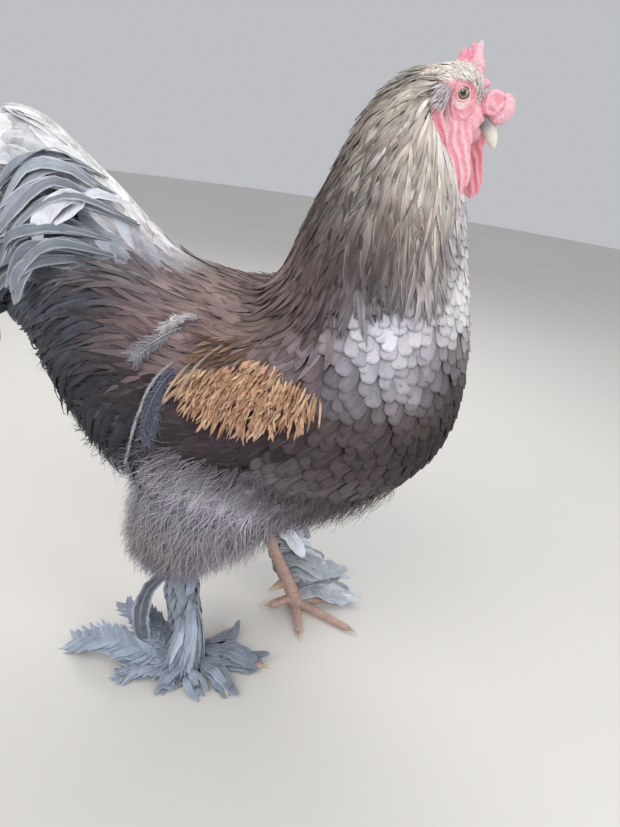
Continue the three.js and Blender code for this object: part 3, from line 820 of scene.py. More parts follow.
def spike(name, start, way, bend, length, half, node):
    """A bent cone: its middle line is the start, plus the way by the share of the length, plus the bend by
    its square. It keeps its width at first and runs to a blunt point by a root of what is left."""
    share, turn = np.meshgrid(np.linspace(0, 1, 24), np.arange(20) / 20 * 2 * np.pi, indexing="ij")
    way, bend = np.asarray(way, float), np.asarray(bend, float)
    middle = np.asarray(start) + length * (share[..., None] * way + share[..., None] ** 2 * bend)
    ahead = unit(way + 2 * share[..., None] * bend)
    wide = unit(np.cross(ahead, [0, 0, 1.0]))
    tall = np.cross(wide, ahead)
    reach = half * np.maximum(1 - share, 0.015) ** 0.72
    grid = middle + reach[..., None] * (np.cos(turn)[..., None] * tall + 0.8 * np.sin(turn)[..., None] * wide)
    grid[..., 2] = np.maximum(grid[..., 2], 0)
    points, faces = closed(grid)
    horn = build(name, points, faces)
    shares = np.concatenate([columns(turn.ravel() / 7, share.ravel()), [[0.5, 0], [0.5, 1]]])
    map_points(horn.data, "length", shares)
    horn.data.materials.append(claw_look.material)
    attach(horn, "root")
    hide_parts(node)


for name, foot in FEET.items():
    for toe, (turned, length, rise) in TOES.items():
        angle = np.radians(foot["heading"] + foot["side"] * turned)
        way = np.array([np.cos(angle), np.sin(angle), 0])
        start = np.array([*foot["at"], 0.0046]) + way * (length - 3.5) / 1000
        spike(
            f"claw_{toe}_{name}_horn", start, way + (0, 0, 0.2), (0, 0, -0.42), 0.0165, 0.0030,
            f"claw_{toe}_{name}",
        )
    sole = np.array([*foot["at"], 0.013])
    start = sole + (hock(foot) - sole) * 0.22 + np.array([-0.72, -0.66 * foot["side"], 0]) * 0.005
    spike(
        f"spur_{name}_horn", start, (-0.72, -0.5 * foot["side"], -0.62), (0, 0, 0.12), 0.028, 0.0086,
        f"spur_{name}",
    )

# The feathers. Each is a thin closed vane with a raised quill line down its middle. It starts under the
# surface of the coat, follows the lie of the body and lifts a little over the feathers below, as real ones
# overlap like slates.
# The marks' colours are the plumage's own with light from above painted into them: paler along the top of the
# back and tail as painted light, and darker on the lower breast, the belly, under the wings and low on the
# flanks as painted shade.
MARKS_AND_PAINTED_LIGHT = np.array([  # soft spots: where a colour is purest, its spread on each axis in millimetres, the colour
    # Head and hackle.
    (98, 22, 662, 20, 20, 16, 200, 196, 190), (118, 8, 686, 20, 20, 12, 232, 228, 220),
    (105, 22, 680, 16, 22, 12, 206, 200, 190), (77, 38, 648, 22, 24, 18, 158, 152, 145),
    (89, 46, 629, 20, 20, 20, 255, 250, 240), (57, 42, 629, 20, 30, 24, 150, 141, 134),
    (107, 45, 613, 22, 22, 26, 248, 238, 226), (88, 68, 573, 26, 30, 24, 92, 78, 73),
    (78, 58, 600, 20, 26, 20, 104, 88, 83), (125, 44, 585, 16, 22, 34, 250, 236, 224),
    (54, 66, 567, 22, 30, 24, 70, 64, 64), (38, 60, 555, 20, 40, 36, 60, 54, 55),
    (80, 80, 530, 30, 34, 20, 86, 71, 69), (112, 74, 533, 26, 30, 22, 118, 102, 97),
    (121, 60, 562, 20, 26, 20, 226, 208, 198), (18, 66, 520, 28, 40, 34, 76, 67, 67),
    (72, 90, 495, 30, 26, 16, 78, 69, 73), (105, 84, 500, 26, 26, 16, 88, 78, 82),
    (140, 62, 505, 26, 30, 18, 124, 117, 123), (24, 77, 485, 30, 32, 16, 92, 80, 81),
    (146, 22, 560, 14, 24, 40, 212, 206, 208), (150, 44, 530, 14, 18, 14, 150, 146, 152),
    # Shoulders, back, saddle and tail.
    (-20, 60, 470, 52, 60, 30, 150, 130, 127), (-90, 60, 470, 34, 60, 24, 122, 113, 118),
    (-40, 105, 424, 50, 40, 20, 142, 122, 124), (-130, 80, 446, 40, 50, 22, 84, 80, 88),
    (36, 109, 437, 22, 24, 14, 112, 98, 102), (50, 101, 458, 22, 24, 14, 104, 90, 94),
    (-105, 12, 478, 26, 40, 14, 192, 186, 188), (-150, 0, 508, 30, 12, 14, 248, 246, 248),
    (-118, 47, 470, 26, 26, 16, 196, 190, 196), (-160, 42, 487, 34, 30, 16, 156, 162, 174),
    (-222, 10, 556, 60, 28, 24, 252, 255, 255), (-266, 30, 546, 30, 24, 18, 206, 214, 224),
    (-255, 42, 500, 30, 30, 16, 92, 100, 110), (-224, 46, 494, 18, 24, 14, 98, 107, 120),
    (-199, 48, 492, 18, 24, 14, 150, 162, 178), (-184, 56, 474, 20, 24, 14, 122, 130, 144),
    (-268, 42, 473, 30, 30, 18, 120, 128, 134), (-318, 20, 570, 22, 30, 30, 172, 178, 186),
    (-190, 66, 448, 40, 30, 18, 92, 98, 108), (-255, 55, 430, 40, 40, 24, 96, 102, 112),
    (-150, 100, 400, 46, 50, 34, 66, 68, 78), (-213, 80, 385, 50, 50, 50, 72, 77, 85),
    (-155, 112, 340, 40, 40, 50, 50, 52, 58), (-104, 127, 330, 34, 30, 50, 64, 59, 63),
    # Breast and belly, darkening to brown low down with painted shade.
    (99, 94, 474, 24, 24, 12, 176, 179, 190), (70, 105, 448, 22, 24, 14, 182, 178, 192),
    (104, 94, 460, 26, 26, 14, 220, 221, 234), (126, 92, 446, 24, 26, 14, 198, 196, 205),
    (146, 70, 474, 22, 30, 14, 196, 194, 202), (163, 36, 494, 22, 28, 22, 255, 255, 255),
    (160, 20, 524, 18, 24, 18, 240, 238, 242), (180, 6, 494, 16, 24, 20, 214, 212, 218),
    (182, 12, 462, 20, 40, 14, 196, 192, 196), (179, 20, 432, 24, 40, 16, 120, 116, 120),
    (151, 78, 433, 26, 30, 16, 130, 125, 131), (100, 108, 425, 24, 26, 14, 178, 180, 193),
    (122, 103, 406, 32, 30, 14, 158, 155, 164), (64, 115, 422, 22, 26, 16, 94, 87, 93),
    (80, 114, 408, 22, 24, 16, 104, 99, 109), (38, 116, 424, 24, 24, 24, 90, 74, 76),
    (152, 85, 386, 40, 40, 16, 80, 70, 69), (180, 42, 398, 26, 40, 20, 64, 59, 60),
    (168, 59, 347, 50, 50, 30, 40, 36, 38), (95, 120, 374, 40, 30, 22, 82, 71, 73),
    (100, 114, 336, 50, 50, 24, 76, 66, 68), (120, 40, 275, 50, 60, 30, 68, 60, 60),
    # Under the wing, flank, thighs and vent, darkest under the wing with painted shade.
    (20, 139, 346, 70, 24, 14, 60, 52, 55), (29, 136, 330, 40, 24, 10, 86, 82, 88),
    (-20, 139, 318, 40, 24, 12, 130, 128, 138), (-71, 129, 292, 40, 30, 22, 178, 176, 186),
    (-20, 124, 284, 56, 40, 22, 204, 204, 218), (60, 120, 304, 36, 40, 18, 84, 74, 78),
    (38, 126, 302, 22, 30, 14, 64, 55, 59), (96, 93, 285, 26, 30, 14, 116, 108, 114),
    (113, 64, 270, 40, 40, 20, 78, 70, 74), (-92, 100, 250, 50, 50, 30, 170, 170, 182),
    (-86, 70, 210, 40, 60, 26, 146, 139, 142), (-22, 73, 215, 40, 60, 34, 158, 154, 164),
    (-60, 64, 150, 50, 50, 34, 124, 128, 140), (60, 60, 210, 60, 60, 30, 100, 92, 94),
    (-200, 60, 280, 40, 60, 40, 58, 56, 64),
])


def markings_and_painted_light(points):
    """The bird's colours at points, with painted light above and painted shade underneath: the mean of the
    marks' colours, each weighted by a bell of the distance to it in its own spreads, the same on both sides."""
    mirrored = points * (1000, 0, 1000) + np.abs(points) * (0, 1000, 0)
    total, weight = 0, 1e-9
    for at, spread, colour in MARKS_AND_PAINTED_LIGHT.reshape(-1, 3, 3):
        share = np.exp(-((((mirrored - at) / spread) ** 2).sum(-1, keepdims=True)) * 0.8) + 1e-12
        total, weight = total + share * paint(*colour), weight + share
    return total / weight


HOP = 1e-3  # a small step along or round a form, to measure its slope


def surface(form, place, turn):
    """A form's point, outward direction and two slopes, by differences of nearby points."""
    along = (form(place + HOP, turn) - form(place - HOP, turn)) / (2 * HOP)
    around = (form(place, turn + HOP) - form(place, turn - HOP)) / (2 * HOP)
    return form(place, turn), unit(np.cross(along, around)), along, around


def down_side(turn):
    """How far round from the back, 0, to the keel, 1, on either side."""
    turn = turn % 1
    return 2 * np.minimum(turn, 1 - turn)


def roots(form, count, tract, gap, seed, last=CROWN):
    """Feather roots in a tract: seeded random places, spread by the form's area, and kept in turn where no
    kept root is nearer than the gap, one number or a list of places with the gap at each. The tract tells,
    for places and shares down the side, which are inside it."""
    draw = np.random.default_rng(seed)
    place, turn = draw.uniform(0, last, count), draw.uniform(0, 1, count)
    inside = tract(place, down_side(turn))
    place, turn = place[inside], turn[inside]
    spot, _, along, around = surface(form, place, turn)
    area = np.linalg.norm(np.cross(along, around), axis=1)
    kept = draw.uniform(0, 1, len(place)) < area / np.percentile(area, 90)
    place, turn, spot = place[kept], turn[kept], spot[kept]
    room = np.interp(place, *gap) if np.ndim(gap) else np.full(len(place), gap)
    alive = np.ones(len(place), bool)
    for i in range(len(place)):
        if alive[i]:
            near = ((spot[i + 1:] - spot[i]) ** 2).sum(1) < room[i] ** 2
            alive[i + 1:] &= ~near
    return place[alive], turn[alive]


def stations(points):
    """Shares of a vane's length at its points, closer together towards the tip, so that it ends round."""
    return 1 - (1 - np.linspace(0, 1, points)) ** 1.4


DOWN = np.array([0, 0, -1.0])


def lie(form, place, turn, length, sink, lift, droop=0.0, swing=0.0, curl=0.0, points=8, rise=0.8):
    """Middle lines of feathers that follow a form back from their roots: at each step the way is the backward
    slope, plus the pull of gravity along the skin by droop, turned in the skin by swing and then curl as it
    goes. The line rises from sink below the surface to lift above it by a power of the length. Also the
    outward directions."""
    place, turn = place.copy(), turn.copy()
    spine, outs = [], []
    shares = stations(points)
    for share, reach in zip(shares, length * np.diff(shares, append=1.0)[:, None]):
        spot, out, along, around = surface(form, place, turn)
        height = -sink + (lift + sink) * share**rise
        spine.append(spot + out * np.asarray(height)[..., None])
        outs.append(out)
        way = -unit(along)
        fall = DOWN + out * out[:, 2:3]
        way = unit(way + fall * np.asarray(droop).reshape(-1, 1))
        angle = np.broadcast_to(swing + curl * share, place.shape)[:, None]
        way = way * np.cos(angle) + np.cross(out, way) * np.sin(angle)
        aa, ab, bb = (along**2).sum(1), (along * around).sum(1), (around**2).sum(1)
        wa, wb = (way * along).sum(1), (way * around).sum(1)
        size = np.maximum(aa * bb - ab**2, 1e-12)
        place = place + reach * (wa * bb - wb * ab) / size
        turn = turn + reach * (wb * aa - wa * ab) / size
    return np.stack(spine, axis=1), np.stack(outs, axis=1)


def leaf(points, root=0.35, widest=0.45, tip=0.6):
    """A vane's width along its length, 0 to 1: it opens from root to full at widest and closes by a root
    curve."""
    share = stations(points)
    opening = root + (1 - root) * np.sin(np.pi / 2 * np.clip(share / widest, 0, 1))
    closing = np.maximum(1 - np.clip((share - widest) / (1 - widest), 0, 1) ** 2, 0) ** tip
    return np.maximum(opening * closing, 0.035)


class Flock:
    """Vanes that make one piece: they are laid in groups and put in one mesh at the end."""

    def __init__(self, draw):
        self.draw = draw
        self.points, self.faces, self.vane, self.bake, self.tint, self.lace = [], [], [], [], [], []
        self.count = 0

    def lay(self, spine, out, half, shape, thick, tints, lace, patch, camber, twist=0.0, corners=4, fray=0.0):
        """Adds vanes: their middle lines, the directions they face, half widths, shape along the length,
        thickness, colours at root and tip, edge colours with their strength, and the places of their baked
        patches. A section is a flat lozenge across the line: two edges drooped by the camber, a top and an
        underside (or one edge fewer for a hair). A single twist is how much the vanes' own twists differ, and
        the fray is the edges' roughness."""
        n, steps = spine.shape[:2]
        ahead = unit(np.gradient(spine, axis=1))
        side = unit(np.cross(ahead, out))
        over = np.cross(side, ahead)
        if np.any(twist):
            angle = twist if np.ndim(twist) else self.draw.normal(0, twist, (n, 1))
            angle = np.broadcast_to(angle, (n, steps))[..., None]
            side, over = (
                side * np.cos(angle) + over * np.sin(angle), over * np.cos(angle) - side * np.sin(angle)
            )
        half = np.broadcast_to(np.reshape(half, (-1, 1)) * leaf(steps, *shape), (n, steps))[..., None]
        left, right = (
            half * (1 + fray * self.draw.uniform(-1, 0.4, half.shape)) if fray else half for _ in range(2)
        )
        thick = np.broadcast_to(thick, (n, steps))[..., None]
        if corners == 4:
            ring = [
                -side * left - over * left * camber, over * thick, side * right - over * right * camber,
                -over * thick,
            ]
            across, shift = np.array([0, 0.5, 1, 0.5]), np.array([0, 0.012, 0, -0.012])
        else:
            ring = [-side * half, over * thick, side * half]
            across, shift = np.array([0, 0.5, 1.0]), np.array([0, 0.02, 0])
        points = spine[:, :, None] + np.stack(ring, axis=2)
        share = 0.014 + 0.972 * stations(steps)[:, None] + shift
        vane = np.stack(np.broadcast_arrays(across, share), axis=-1)
        vane = np.broadcast_to(vane, (n, steps, corners, 2))
        bake = np.clip(patch[:, None, None] + (vane - 0.5) * 0.003, 0.0001, 0.9999)
        tint = np.broadcast_to(along_tint(steps, *tints)[:, :, None], (n, steps, corners, 3))
        lace = np.broadcast_to(laced(*lace)[:, None, None], (n, steps, corners, 4))
        own = np.arange(n)[:, None, None] * steps * corners
        k, c = np.meshgrid(np.arange(steps - 1), np.arange(corners), indexing="ij")
        a, b = k * corners + c, k * corners + (c + 1) % corners
        walls = np.stack([a, b, b + corners, a + corners], axis=-1).reshape(1, -1, 4)
        ends = np.stack([np.arange(corners)[::-1], np.arange(corners) + (steps - 1) * corners])[None]
        self.faces.append(
            [(walls + own + self.count).reshape(-1, 4), (ends + own + self.count).reshape(-1, corners)]
        )
        self.count += n * steps * corners
        self.points.append(points.reshape(-1, 3))
        self.vane.append(vane.reshape(-1, 2))
        self.bake.append(bake.reshape(-1, 2))
        self.tint.append(np.concatenate([tint.reshape(-1, 3), np.ones((n * steps * corners, 1))], axis=1))
        self.lace.append(lace.reshape(-1, 4))

    def piece(self, name, stuff, slot, *nodes):
        """Puts the laid vanes in one mesh, with crisp edges, and gives it its finish and its body."""
        faces = [f for group in self.faces for f in group]
        made = build(name, np.concatenate(self.points), faces)
        mesh = made.data
        mesh.set_sharp_from_angle(angle=np.radians(50))
        map_points(mesh, "vane", np.concatenate(self.vane))
        map_points(mesh, "OFBake", np.concatenate(self.bake))
        colour_points(mesh, "tint", np.concatenate(self.tint))
        colour_points(mesh, "lace", np.concatenate(self.lace))
        mesh.materials.append(stuff.material)
        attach(made, "root")
        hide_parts(*nodes)
        return made


def feather_finish(name, barbs, quill, rough=0.68, height=0.0004, vary=0.35, rim_at=(0.55, 0.95)):
    """A feather's look: its own tint, paler or darker in soft clouds and along its barbs, an edge and tip in
    its lace colour, and a pale quill line. The barbs run out and forward from the quill as fine ridges."""
    stuff = Stuff(name, roughness=rough, specular_ior_level=0.25)
    vane = stuff.node("ShaderNodeUVMap", {"uv_map": "vane"})
    across = stuff.node("ShaderNodeSeparateXYZ", {}, {0: vane}, output="X")
    along = stuff.node("ShaderNodeSeparateXYZ", {}, {0: vane}, output="Y")
    edge = abs(across * 2 - 1)
    tint, lace, strength = stuff.stored("tint"), stuff.stored("lace"), stuff.stored("lace", "Alpha")
    cloud = stuff.noise(55, 3)
    comb = stuff.node("ShaderNodeCombineXYZ", {}, {0: along * barbs - edge * barbs * 0.22, 1: across * 2.5})
    strand = stuff.noise(1.0, 2, stuff.vector("ADD", comb, tint))
    wave = (along * barbs * 6.283 - edge * barbs * 1.4).math("SINE") * 0.5 + 0.5
    rim = (edge + (strand - 0.5) * 0.3).ramp(*rim_at)
    end = (along + (strand - 0.5) * 0.12).ramp(0.86, 0.99)
    body = stuff.blend(rim.math("MAXIMUM", end) * strength, tint, lace)
    share = (strand - 0.5) * vary * 2 + (cloud - 0.5) * vary * 1.6 + 0.5
    dark = stuff.blend(1.0, body, (0.5, 0.46, 0.45), "MULTIPLY")
    light = stuff.blend(1.0, body, (1.5, 1.47, 1.44), "MULTIPLY")
    body = stuff.blend(share, dark, light)
    line = edge.ramp(0.16, 0.04) * (1 - along.ramp(0.5, 0.98)) * quill
    stuff.drive("Base Color", stuff.blend(line, body, stuff.blend(0.35, body, (0.85, 0.8, 0.72))))
    stuff.bump(wave * 0.5 + strand + line * 1.2, height)
    return stuff


def speckled(colours, draw, spread=0.12, warm=0.04):
    """Colours made a little lighter or darker, and warmer or colder, from feather to feather."""
    n = len(colours)
    return np.clip(
        colours * np.exp(draw.normal(0, spread, (n, 1)) + draw.normal(0, warm, (n, 3))), 0.004, 0.95
    )


def varied(draw, at, places, sizes, low, high):
    """A size that runs from place to place and differs from feather to feather, between two shares of it."""
    return np.interp(at, places, sizes) * draw.uniform(low, high, len(at))


def even(colour, n):
    """The same colour for n feathers."""
    return np.broadcast_to(colour, (n, 3))


def patches(place, turn):
    """The baked patches' places: the coat unrolled, round the body by along it, inside the map."""
    return columns(0.01 + 0.98 * (turn % 1), 0.01 + 0.98 * np.clip(place / CROWN, 0, 1))


def along_tint(points, root, tip, turn_at=0.5):
    """Each feather's colour from root to tip, changing over about turn_at of its length."""
    share = step(stations(points), turn_at - 0.4, turn_at + 0.4)[None, :, None]
    return root[:, None] * (1 - share) + tip[:, None] * share


def laced(colour, strength):
    """Edge colours with their strength as a fourth value."""
    return np.concatenate([np.clip(colour, 0, 1), np.broadcast_to(strength, (len(colour), 1))], axis=1)


soft_feather = feather_finish("soft_feather", 22, 0.08)

# Hackle: a full cape of long narrow pointed feathers from the back of the head over the shoulders. Each is
# dark down its middle with straw and cream edges, palest beside the face, and the ones on the sides end in
# slate tips.
CAPE_EDGE = (  # where its last feathers are rooted: shares down the side, and the place at each
    [0, 0.25, 0.36, 0.44, 0.53, 0.6, 0.68, 0.78, 0.87, 1.0],
    [12.8, 13.2, 13.4, 13.9, 14.3, 14.4, 14.2, 14.9, 15.6, 15.9],
)


def cape(place, side):
    """Above the line where the last hackle feathers are rooted, and behind the bare face."""
    face = np.interp(side, [0, 0.5, 0.72, 0.85, 1], [18.2, 18.1, 17.2, 16.4, 15.8])
    return (place > np.interp(side, *CAPE_EDGE)) & (place < face)


def sides(turn):
    """The two halves of a tract: their names and which feathers are theirs."""
    return ("right", turn % 1 > 0.5), ("left", turn % 1 <= 0.5)


draw = np.random.default_rng(101)
place, turn = roots(coat, 90000, cape, ([12, 15, 16, 18], [0.0036, 0.0031, 0.0026, 0.0021]), 102)
count = len(place)
high = step(place, 15.0, 17.6)
side = down_side(turn)
above = place - np.interp(side, *CAPE_EDGE)
longer = 1 + 0.24 * np.clip(above, 0, 1.1) * step(16.6 - place, 0, 1)
length = varied(draw, place, [12, 14, 15, 16, 17.3, 18], [0.104, 0.104, 0.096, 0.076, 0.046, 0.026],
                np.interp(place, [14.6, 15.4], [0.84, 0.72]), 1.1) * longer
half = varied(draw, place, [12, 14.4, 15.6, 17, 18], [0.0044, 0.0040, 0.0034, 0.0019, 0.0012], 0.6, 1.3)
lift = np.interp(place, [12, 16, 18], [0.006, 0.004, 0.0015])
lift = lift + 0.006 * step(place, 16.4, 17.6) * step(0.3 - side, 0, 0.2)
lift = lift * draw.uniform(0.2, 1.25, count)
back_swept = (
    np.where(turn > 0.5, -0.6, 0.6) * step(place, 14.2, 16.6) * np.sin(np.pi * np.clip(side * 1.1, 0, 1))
)
spine, out = lie(
    coat, place, turn, length, 0.004, lift, 0.15, back_swept + draw.normal(0, 0.09, count),
    draw.normal(0, 0.22, count) - 0.9 * back_swept, 9, 0.7,
)
ground = speckled(markings_and_painted_light(coat(place, turn)), draw, 0.2, 0.018)
slate = 0.85 * step(16.7 - place, 0, 1.5) * draw.uniform(0.5, 1, count)
slate = slate * np.interp(side, [0.3, 0.45, 0.62, 0.78], [0, 1, 1, 0.4])
tip = speckled(mixed(markings_and_painted_light(spine[:, -1]), paint(84, 75, 80), slate), draw, 0.2, 0.018)
edge = mixed(ground * 1.45 + 0.01, paint(236, 224, 208), draw.uniform(0, 0.6, count) * (0.03 + 0.97 * high))
shade = np.interp(draw.uniform(0, 1, count), [0, 0.5, 1], [0.5, 0.82, 1.06]) * (1 + 0.66 * high)
ground = ground * shade[:, None]
strength = 0.28 + 0.45 * step(place, 15.7, 17.1)[:, None]
for name, part in sides(turn):
    hackle = Flock(draw)
    hackle.lay(spine[part], out[part], half[part], (0.5, 0.5, 0.75), 0.00035, (ground[part], tip[part], 0.62),
               (edge[part], strength[part]), patches(place, turn)[part], 0.2, 0.16)
    hackle.piece(f"hackle_{name}", soft_feather, "hackle_feathers")

# Crown: small narrow cream feathers, rooted in the thin skin of the skull, sweep back from the comb over the
# brows. A dusky lavender tuft of single strands covers each ear.
NAPE_ROWS = [(-43, -26, -14, -52, 26), (-38, -13.5, -18, -38, 22), (-31, -1.5, -24, -24, 17)]
CAP_ROWS = np.concatenate([NAPE_ROWS, SKULL_ROWS[1:] + np.outer([2.5, 4, 4, 3, 0, 0], [0, 1, 0, 0, 0.45])])


def skull(place, turn):
    """The feathered top of the head: ovals from the nape over the skull, a little raised, forward to the
    bill."""
    return from_head(oval(CAP_ROWS, place, turn, 0.9))


def cap_tract(place, side):
    """From the neck to the front of the brows, above the eyes, and round the foot of the comb's rear
    block."""
    low = np.interp(
        place, [1, 3.0, 3.5, 3.7, 3.9, 4.45, 4.9, 5.4, 6.0, 6.8],
        [0.6, 0.66, 0.66, 0.6, 0.46, 0.34, 0.30, 0.32, 0.35, 0.38],
    )
    return (place > 1.2) & (place < 6.2) & (side < low) & ((place < 2.9) | (side > 0.10))


crown_feather = feather_finish("crown_feather", 8, 0.0, 0.75, 0.0002, 0.18)
draw = np.random.default_rng(151)
cap = Flock(draw)
place, turn = roots(skull, 60000, cap_tract, ([4.3, 5.2], [0.0016, 0.0012]), 152, 7)
count = len(place)
length = varied(draw, place, [1, 3, 4, 5, 6.8], [0.013, 0.012, 0.0095, 0.0060, 0.0036], 0.65, 1.2)
half = varied(draw, place, [1, 3, 4, 5, 6.8], [0.0012, 0.0010, 0.0009, 0.0007, 0.00055], 0.7, 1.3)
spine, out = lie(
    skull, place, turn, length, 0.0025,
    varied(draw, place, [1.2, 2.4, 4], [-0.0016, 0.0004, 0.0014], 0.1, 1.2), 0.5, draw.normal(0, 0.2, count),
    draw.normal(0, 0.3, count), 7,
)
ground = mixed(
    paint(238, 234, 226), paint(206, 196, 180), step(3.4 - place, 0, 2) * draw.uniform(0.4, 1, count)
)
# the front strands a quarter paler: painted light against the shade they cast on each other
ground = speckled(ground * (1 + 0.25 * step(place, 3.4, 4.6))[:, None], draw, 0.12)
cap.lay(spine, out, half, (0.6, 0.4, 0.8), 0.0002, (ground * 0.92, ground * 1.05), (ground * 1.3, 0.5),
        columns(0.01 + 0.98 * turn, 0.88 + 0.015 * place), 0.2)
EAR_STRANDS = 520
for side in (-1, 1):  # strands start behind the lids and fall back over the top of the lobe
    m = EAR_STRANDS
    turn, far = draw.uniform(0, 2 * np.pi, m), draw.uniform(0, 1, m) ** 0.5
    deep = 0.0165 + 0.003 * draw.uniform(0, 1, m)
    root = columns(0.1122 + 0.0046 * far * np.cos(turn), side * deep, 0.6590 + 0.0074 * far * np.sin(turn))
    way = unit(np.array([-0.72, side * 0.22, -0.62]) + draw.normal(0, 0.3, (m, 3)))
    s = stations(7)[None, :, None]
    bow = way[:, None] * s + (0, side * 0.42, 0) * np.sin(np.pi * s * 0.8) - (0, 0, 0.25) * s**2
    spine = root[:, None] + draw.uniform(0.005, 0.015, (m, 1, 1)) * bow
    ground = speckled(mixed(paint(214, 206, 220), paint(244, 236, 240), draw.uniform(0, 1, m)), draw, 0.14)
    cap.lay(
        spine, np.array([0, side, 0.2]) + 0 * spine, 0.0005 * draw.uniform(0.6, 1.4, m), (0.6, 0.4, 0.8),
        0.0002, (ground * 0.8, ground), (ground * 1.3, 0.5),
        columns(0.5 + side * (0.2 + 0.05 * far), 0.94 + 0.03 * np.sin(turn)), 0.2,
    )
cap.piece("crown_and_ears", crown_feather, "hackle_feathers")

# Breast: broad round feathers in lavender grey that overlap like scales, each with a thin darker rim, almost
# white at the front of the crop, plum brown by the wing and brown lower down, darkened there with painted
# shade under the body.
def breast_tract(place, side):
    """From under the cape to the belly, in front of the wings."""
    wing_front = np.interp(
        place, [4.5, 6, 7.0, 7.5, 7.9, 8.9, 10, 11.4], [0.66, 0.57, 0.52, 0.42, 0.32, 0.31, 0.36, 0.40]
    )
    top = np.interp(side, [0.4, 0.5, 0.7, 0.8, 0.9, 1], [13.3, 13.3, 13.2, 14.0, 15.3, 15.6])
    return (place < top) & (place > 4.6) & (side > wing_front)


breast_feather = feather_finish("breast_feather", 14, 0.12, 0.7, 0.0003, 0.25, (0.72, 0.98))
draw = np.random.default_rng(111)
place, turn = roots(coat, 30000, breast_tract, ([4.6, 9, 13], [0.0092, 0.0088, 0.0078]), 112)
count = len(place)
length = varied(draw, place, [5, 8, 12, 14], [0.042, 0.034, 0.030, 0.026], 0.92, 1.08)
half = varied(draw, place, [5, 8, 12, 14], [0.0086, 0.0084, 0.0080, 0.0070], 0.9, 1.1)
spine, out = lie(
    coat, place, turn, length, 0.002, 0.0026 * draw.uniform(0.7, 1.3, count), 0.12,
    draw.normal(0, 0.10, count), draw.normal(0, 0.12, count), 10,
)
side = down_side(turn)
border = step(0.40 - side, 0, 0.03) * step(place, 7.6, 8.4)
ground = speckled(mixed(markings_and_painted_light(spine[:, 6]), paint(150, 142, 154), 0.3 * border), draw, 0.09, 0.015)
breast = Flock(draw)
for part, fray in ((border < 0.5, 0.0), (border >= 0.5, 0.35)):
    own = ground[part]
    breast.lay(spine[part], out[part], half[part], (0.6, 0.74, 0.5), 0.0004, (own * 0.85, own * 1.12, 0.8),
               (own * 0.55, 0.75 - fray), patches(place, turn)[part], 0.16, 0.06, fray=fray)
breast.piece("breast", breast_feather, "body_feathers")

# Back and saddle: soft brown feathers behind the cape, lengthening into the narrow dark slate ones that hang
# in pointed locks over the flanks and past the root of the tail. Soft slate-blue patches over the saddle's
# sides are a painted sheen.
def back_tract(place, side):
    """The top of the trunk behind the cape, and the flanks behind the wings."""
    wide = np.interp(
        place, [0, 1, 2, 3, 3.6, 4.1, 6, 8, 10, 11],
        [0.80, 0.80, 0.74, 0.62, 0.44, 0.34, 0.33, 0.34, 0.38, 0.40],
    )
    return (place < np.interp(side, *CAPE_EDGE) + 1.0) & (side < wide)


draw = np.random.default_rng(121)
place, turn = roots(coat, 90000, back_tract, ([4, 6], [0.0050, 0.0056]), 122)
count = len(place)
side = down_side(turn)
length = varied(draw, place, [0, 2, 3.5, 5, 8], [0.092, 0.116, 0.092, 0.056, 0.050], 0.75, 1.15)
half = varied(draw, place, [0, 4, 6], [0.0034, 0.0034, 0.0042], 0.5, 1.4)
droop = 0.2 + 1.1 * step(side, 0.1, 0.5) * step(5 - place, 0, 3)
lift = varied(draw, place, [0, 3, 4, 6, 12], [0.010, 0.007, 0.0035, 0.0022, 0.004], 0.2, 1.3)
lift = lift * (0.2 + 0.8 * step(side, 0.05, 0.2))
spine, out = lie(
    coat, place, turn, length, 0.004, lift, droop, draw.normal(0, 0.12, count), draw.normal(0, 0.25, count),
    9, 0.7,
)
spot = coat(place, turn)
# painted sheen: soft slate-blue patches over the saddle's sides
slate = step(ripple(spot, 0.055, 125), 0.2, 0.9) * step(4.4 - place, 0, 1.5) * step(side, 0.12, 0.26)
ground = speckled(mixed(markings_and_painted_light(spot), paint(98, 106, 124), 0.6 * slate), draw, 0.15, 0.02)
edge = mixed(ground * 1.4 + 0.006, paint(150, 146, 150), draw.uniform(0, 0.55, count) ** 2)
place_low, turn_low = roots(
    coat, 30000, lambda p, q: (p > 0.6) & (p < 3.3) & (q > 0.42) & (q < 0.74), 0.0085, 126
)
for name, part in sides(turn):
    back = Flock(draw)
    own = dict(sides(turn_low))[name]
    m = own.sum()
    locks, facing = lie(
        coat, place_low[own], turn_low[own], draw.uniform(0.075, 0.125, m), 0.004,
        draw.uniform(0.006, 0.016, m), 3.0, draw.normal(0, 0.12, m), draw.normal(0, 0.2, m), 12, 0.9,
    )
    dark = speckled(even(paint(50, 50, 60), m), draw, 0.25)
    back.lay(
        locks, facing, 0.0052 * draw.uniform(0.7, 1.2, m), (0.4, 0.4, 0.9), 0.0003, (dark * 1.3, dark * 0.8),
        (dark * 1.8, 0.4), patches(place_low, turn_low)[own], 0.16, 0.12,
    )
    back.lay(spine[part], out[part], half[part], (0.5, 0.4, 0.7), 0.0003, (ground[part], ground[part] * 0.9),
             (edge[part], 0.45), patches(place, turn)[part], 0.14, 0.1, fray=0.25)
    back.piece(f"back_and_saddle_{name}", soft_feather, "body_feathers")

# Wings: folded shut. What shows is the bow's small brown feathers with cream tips, then a bay of short ragged
# tan coverts that hang like thatch, and under them the nearly black edge of the folded flights.
def bay_tract(place, side):
    """The tan patch: a lens along the side, deepest at its middle."""
    top = np.interp(place, [3.8, 4.2, 5.8, 7.0, 7.7, 8.2], [0.34, 0.305, 0.285, 0.325, 0.385, 0.44])
    low = np.interp(place, [3.8, 4.2, 4.6, 5.8, 7.3, 8.2], [0.37, 0.390, 0.405, 0.425, 0.455, 0.465])
    return (place > 3.8) & (place < 8.2) & (side > top) & (side < low)


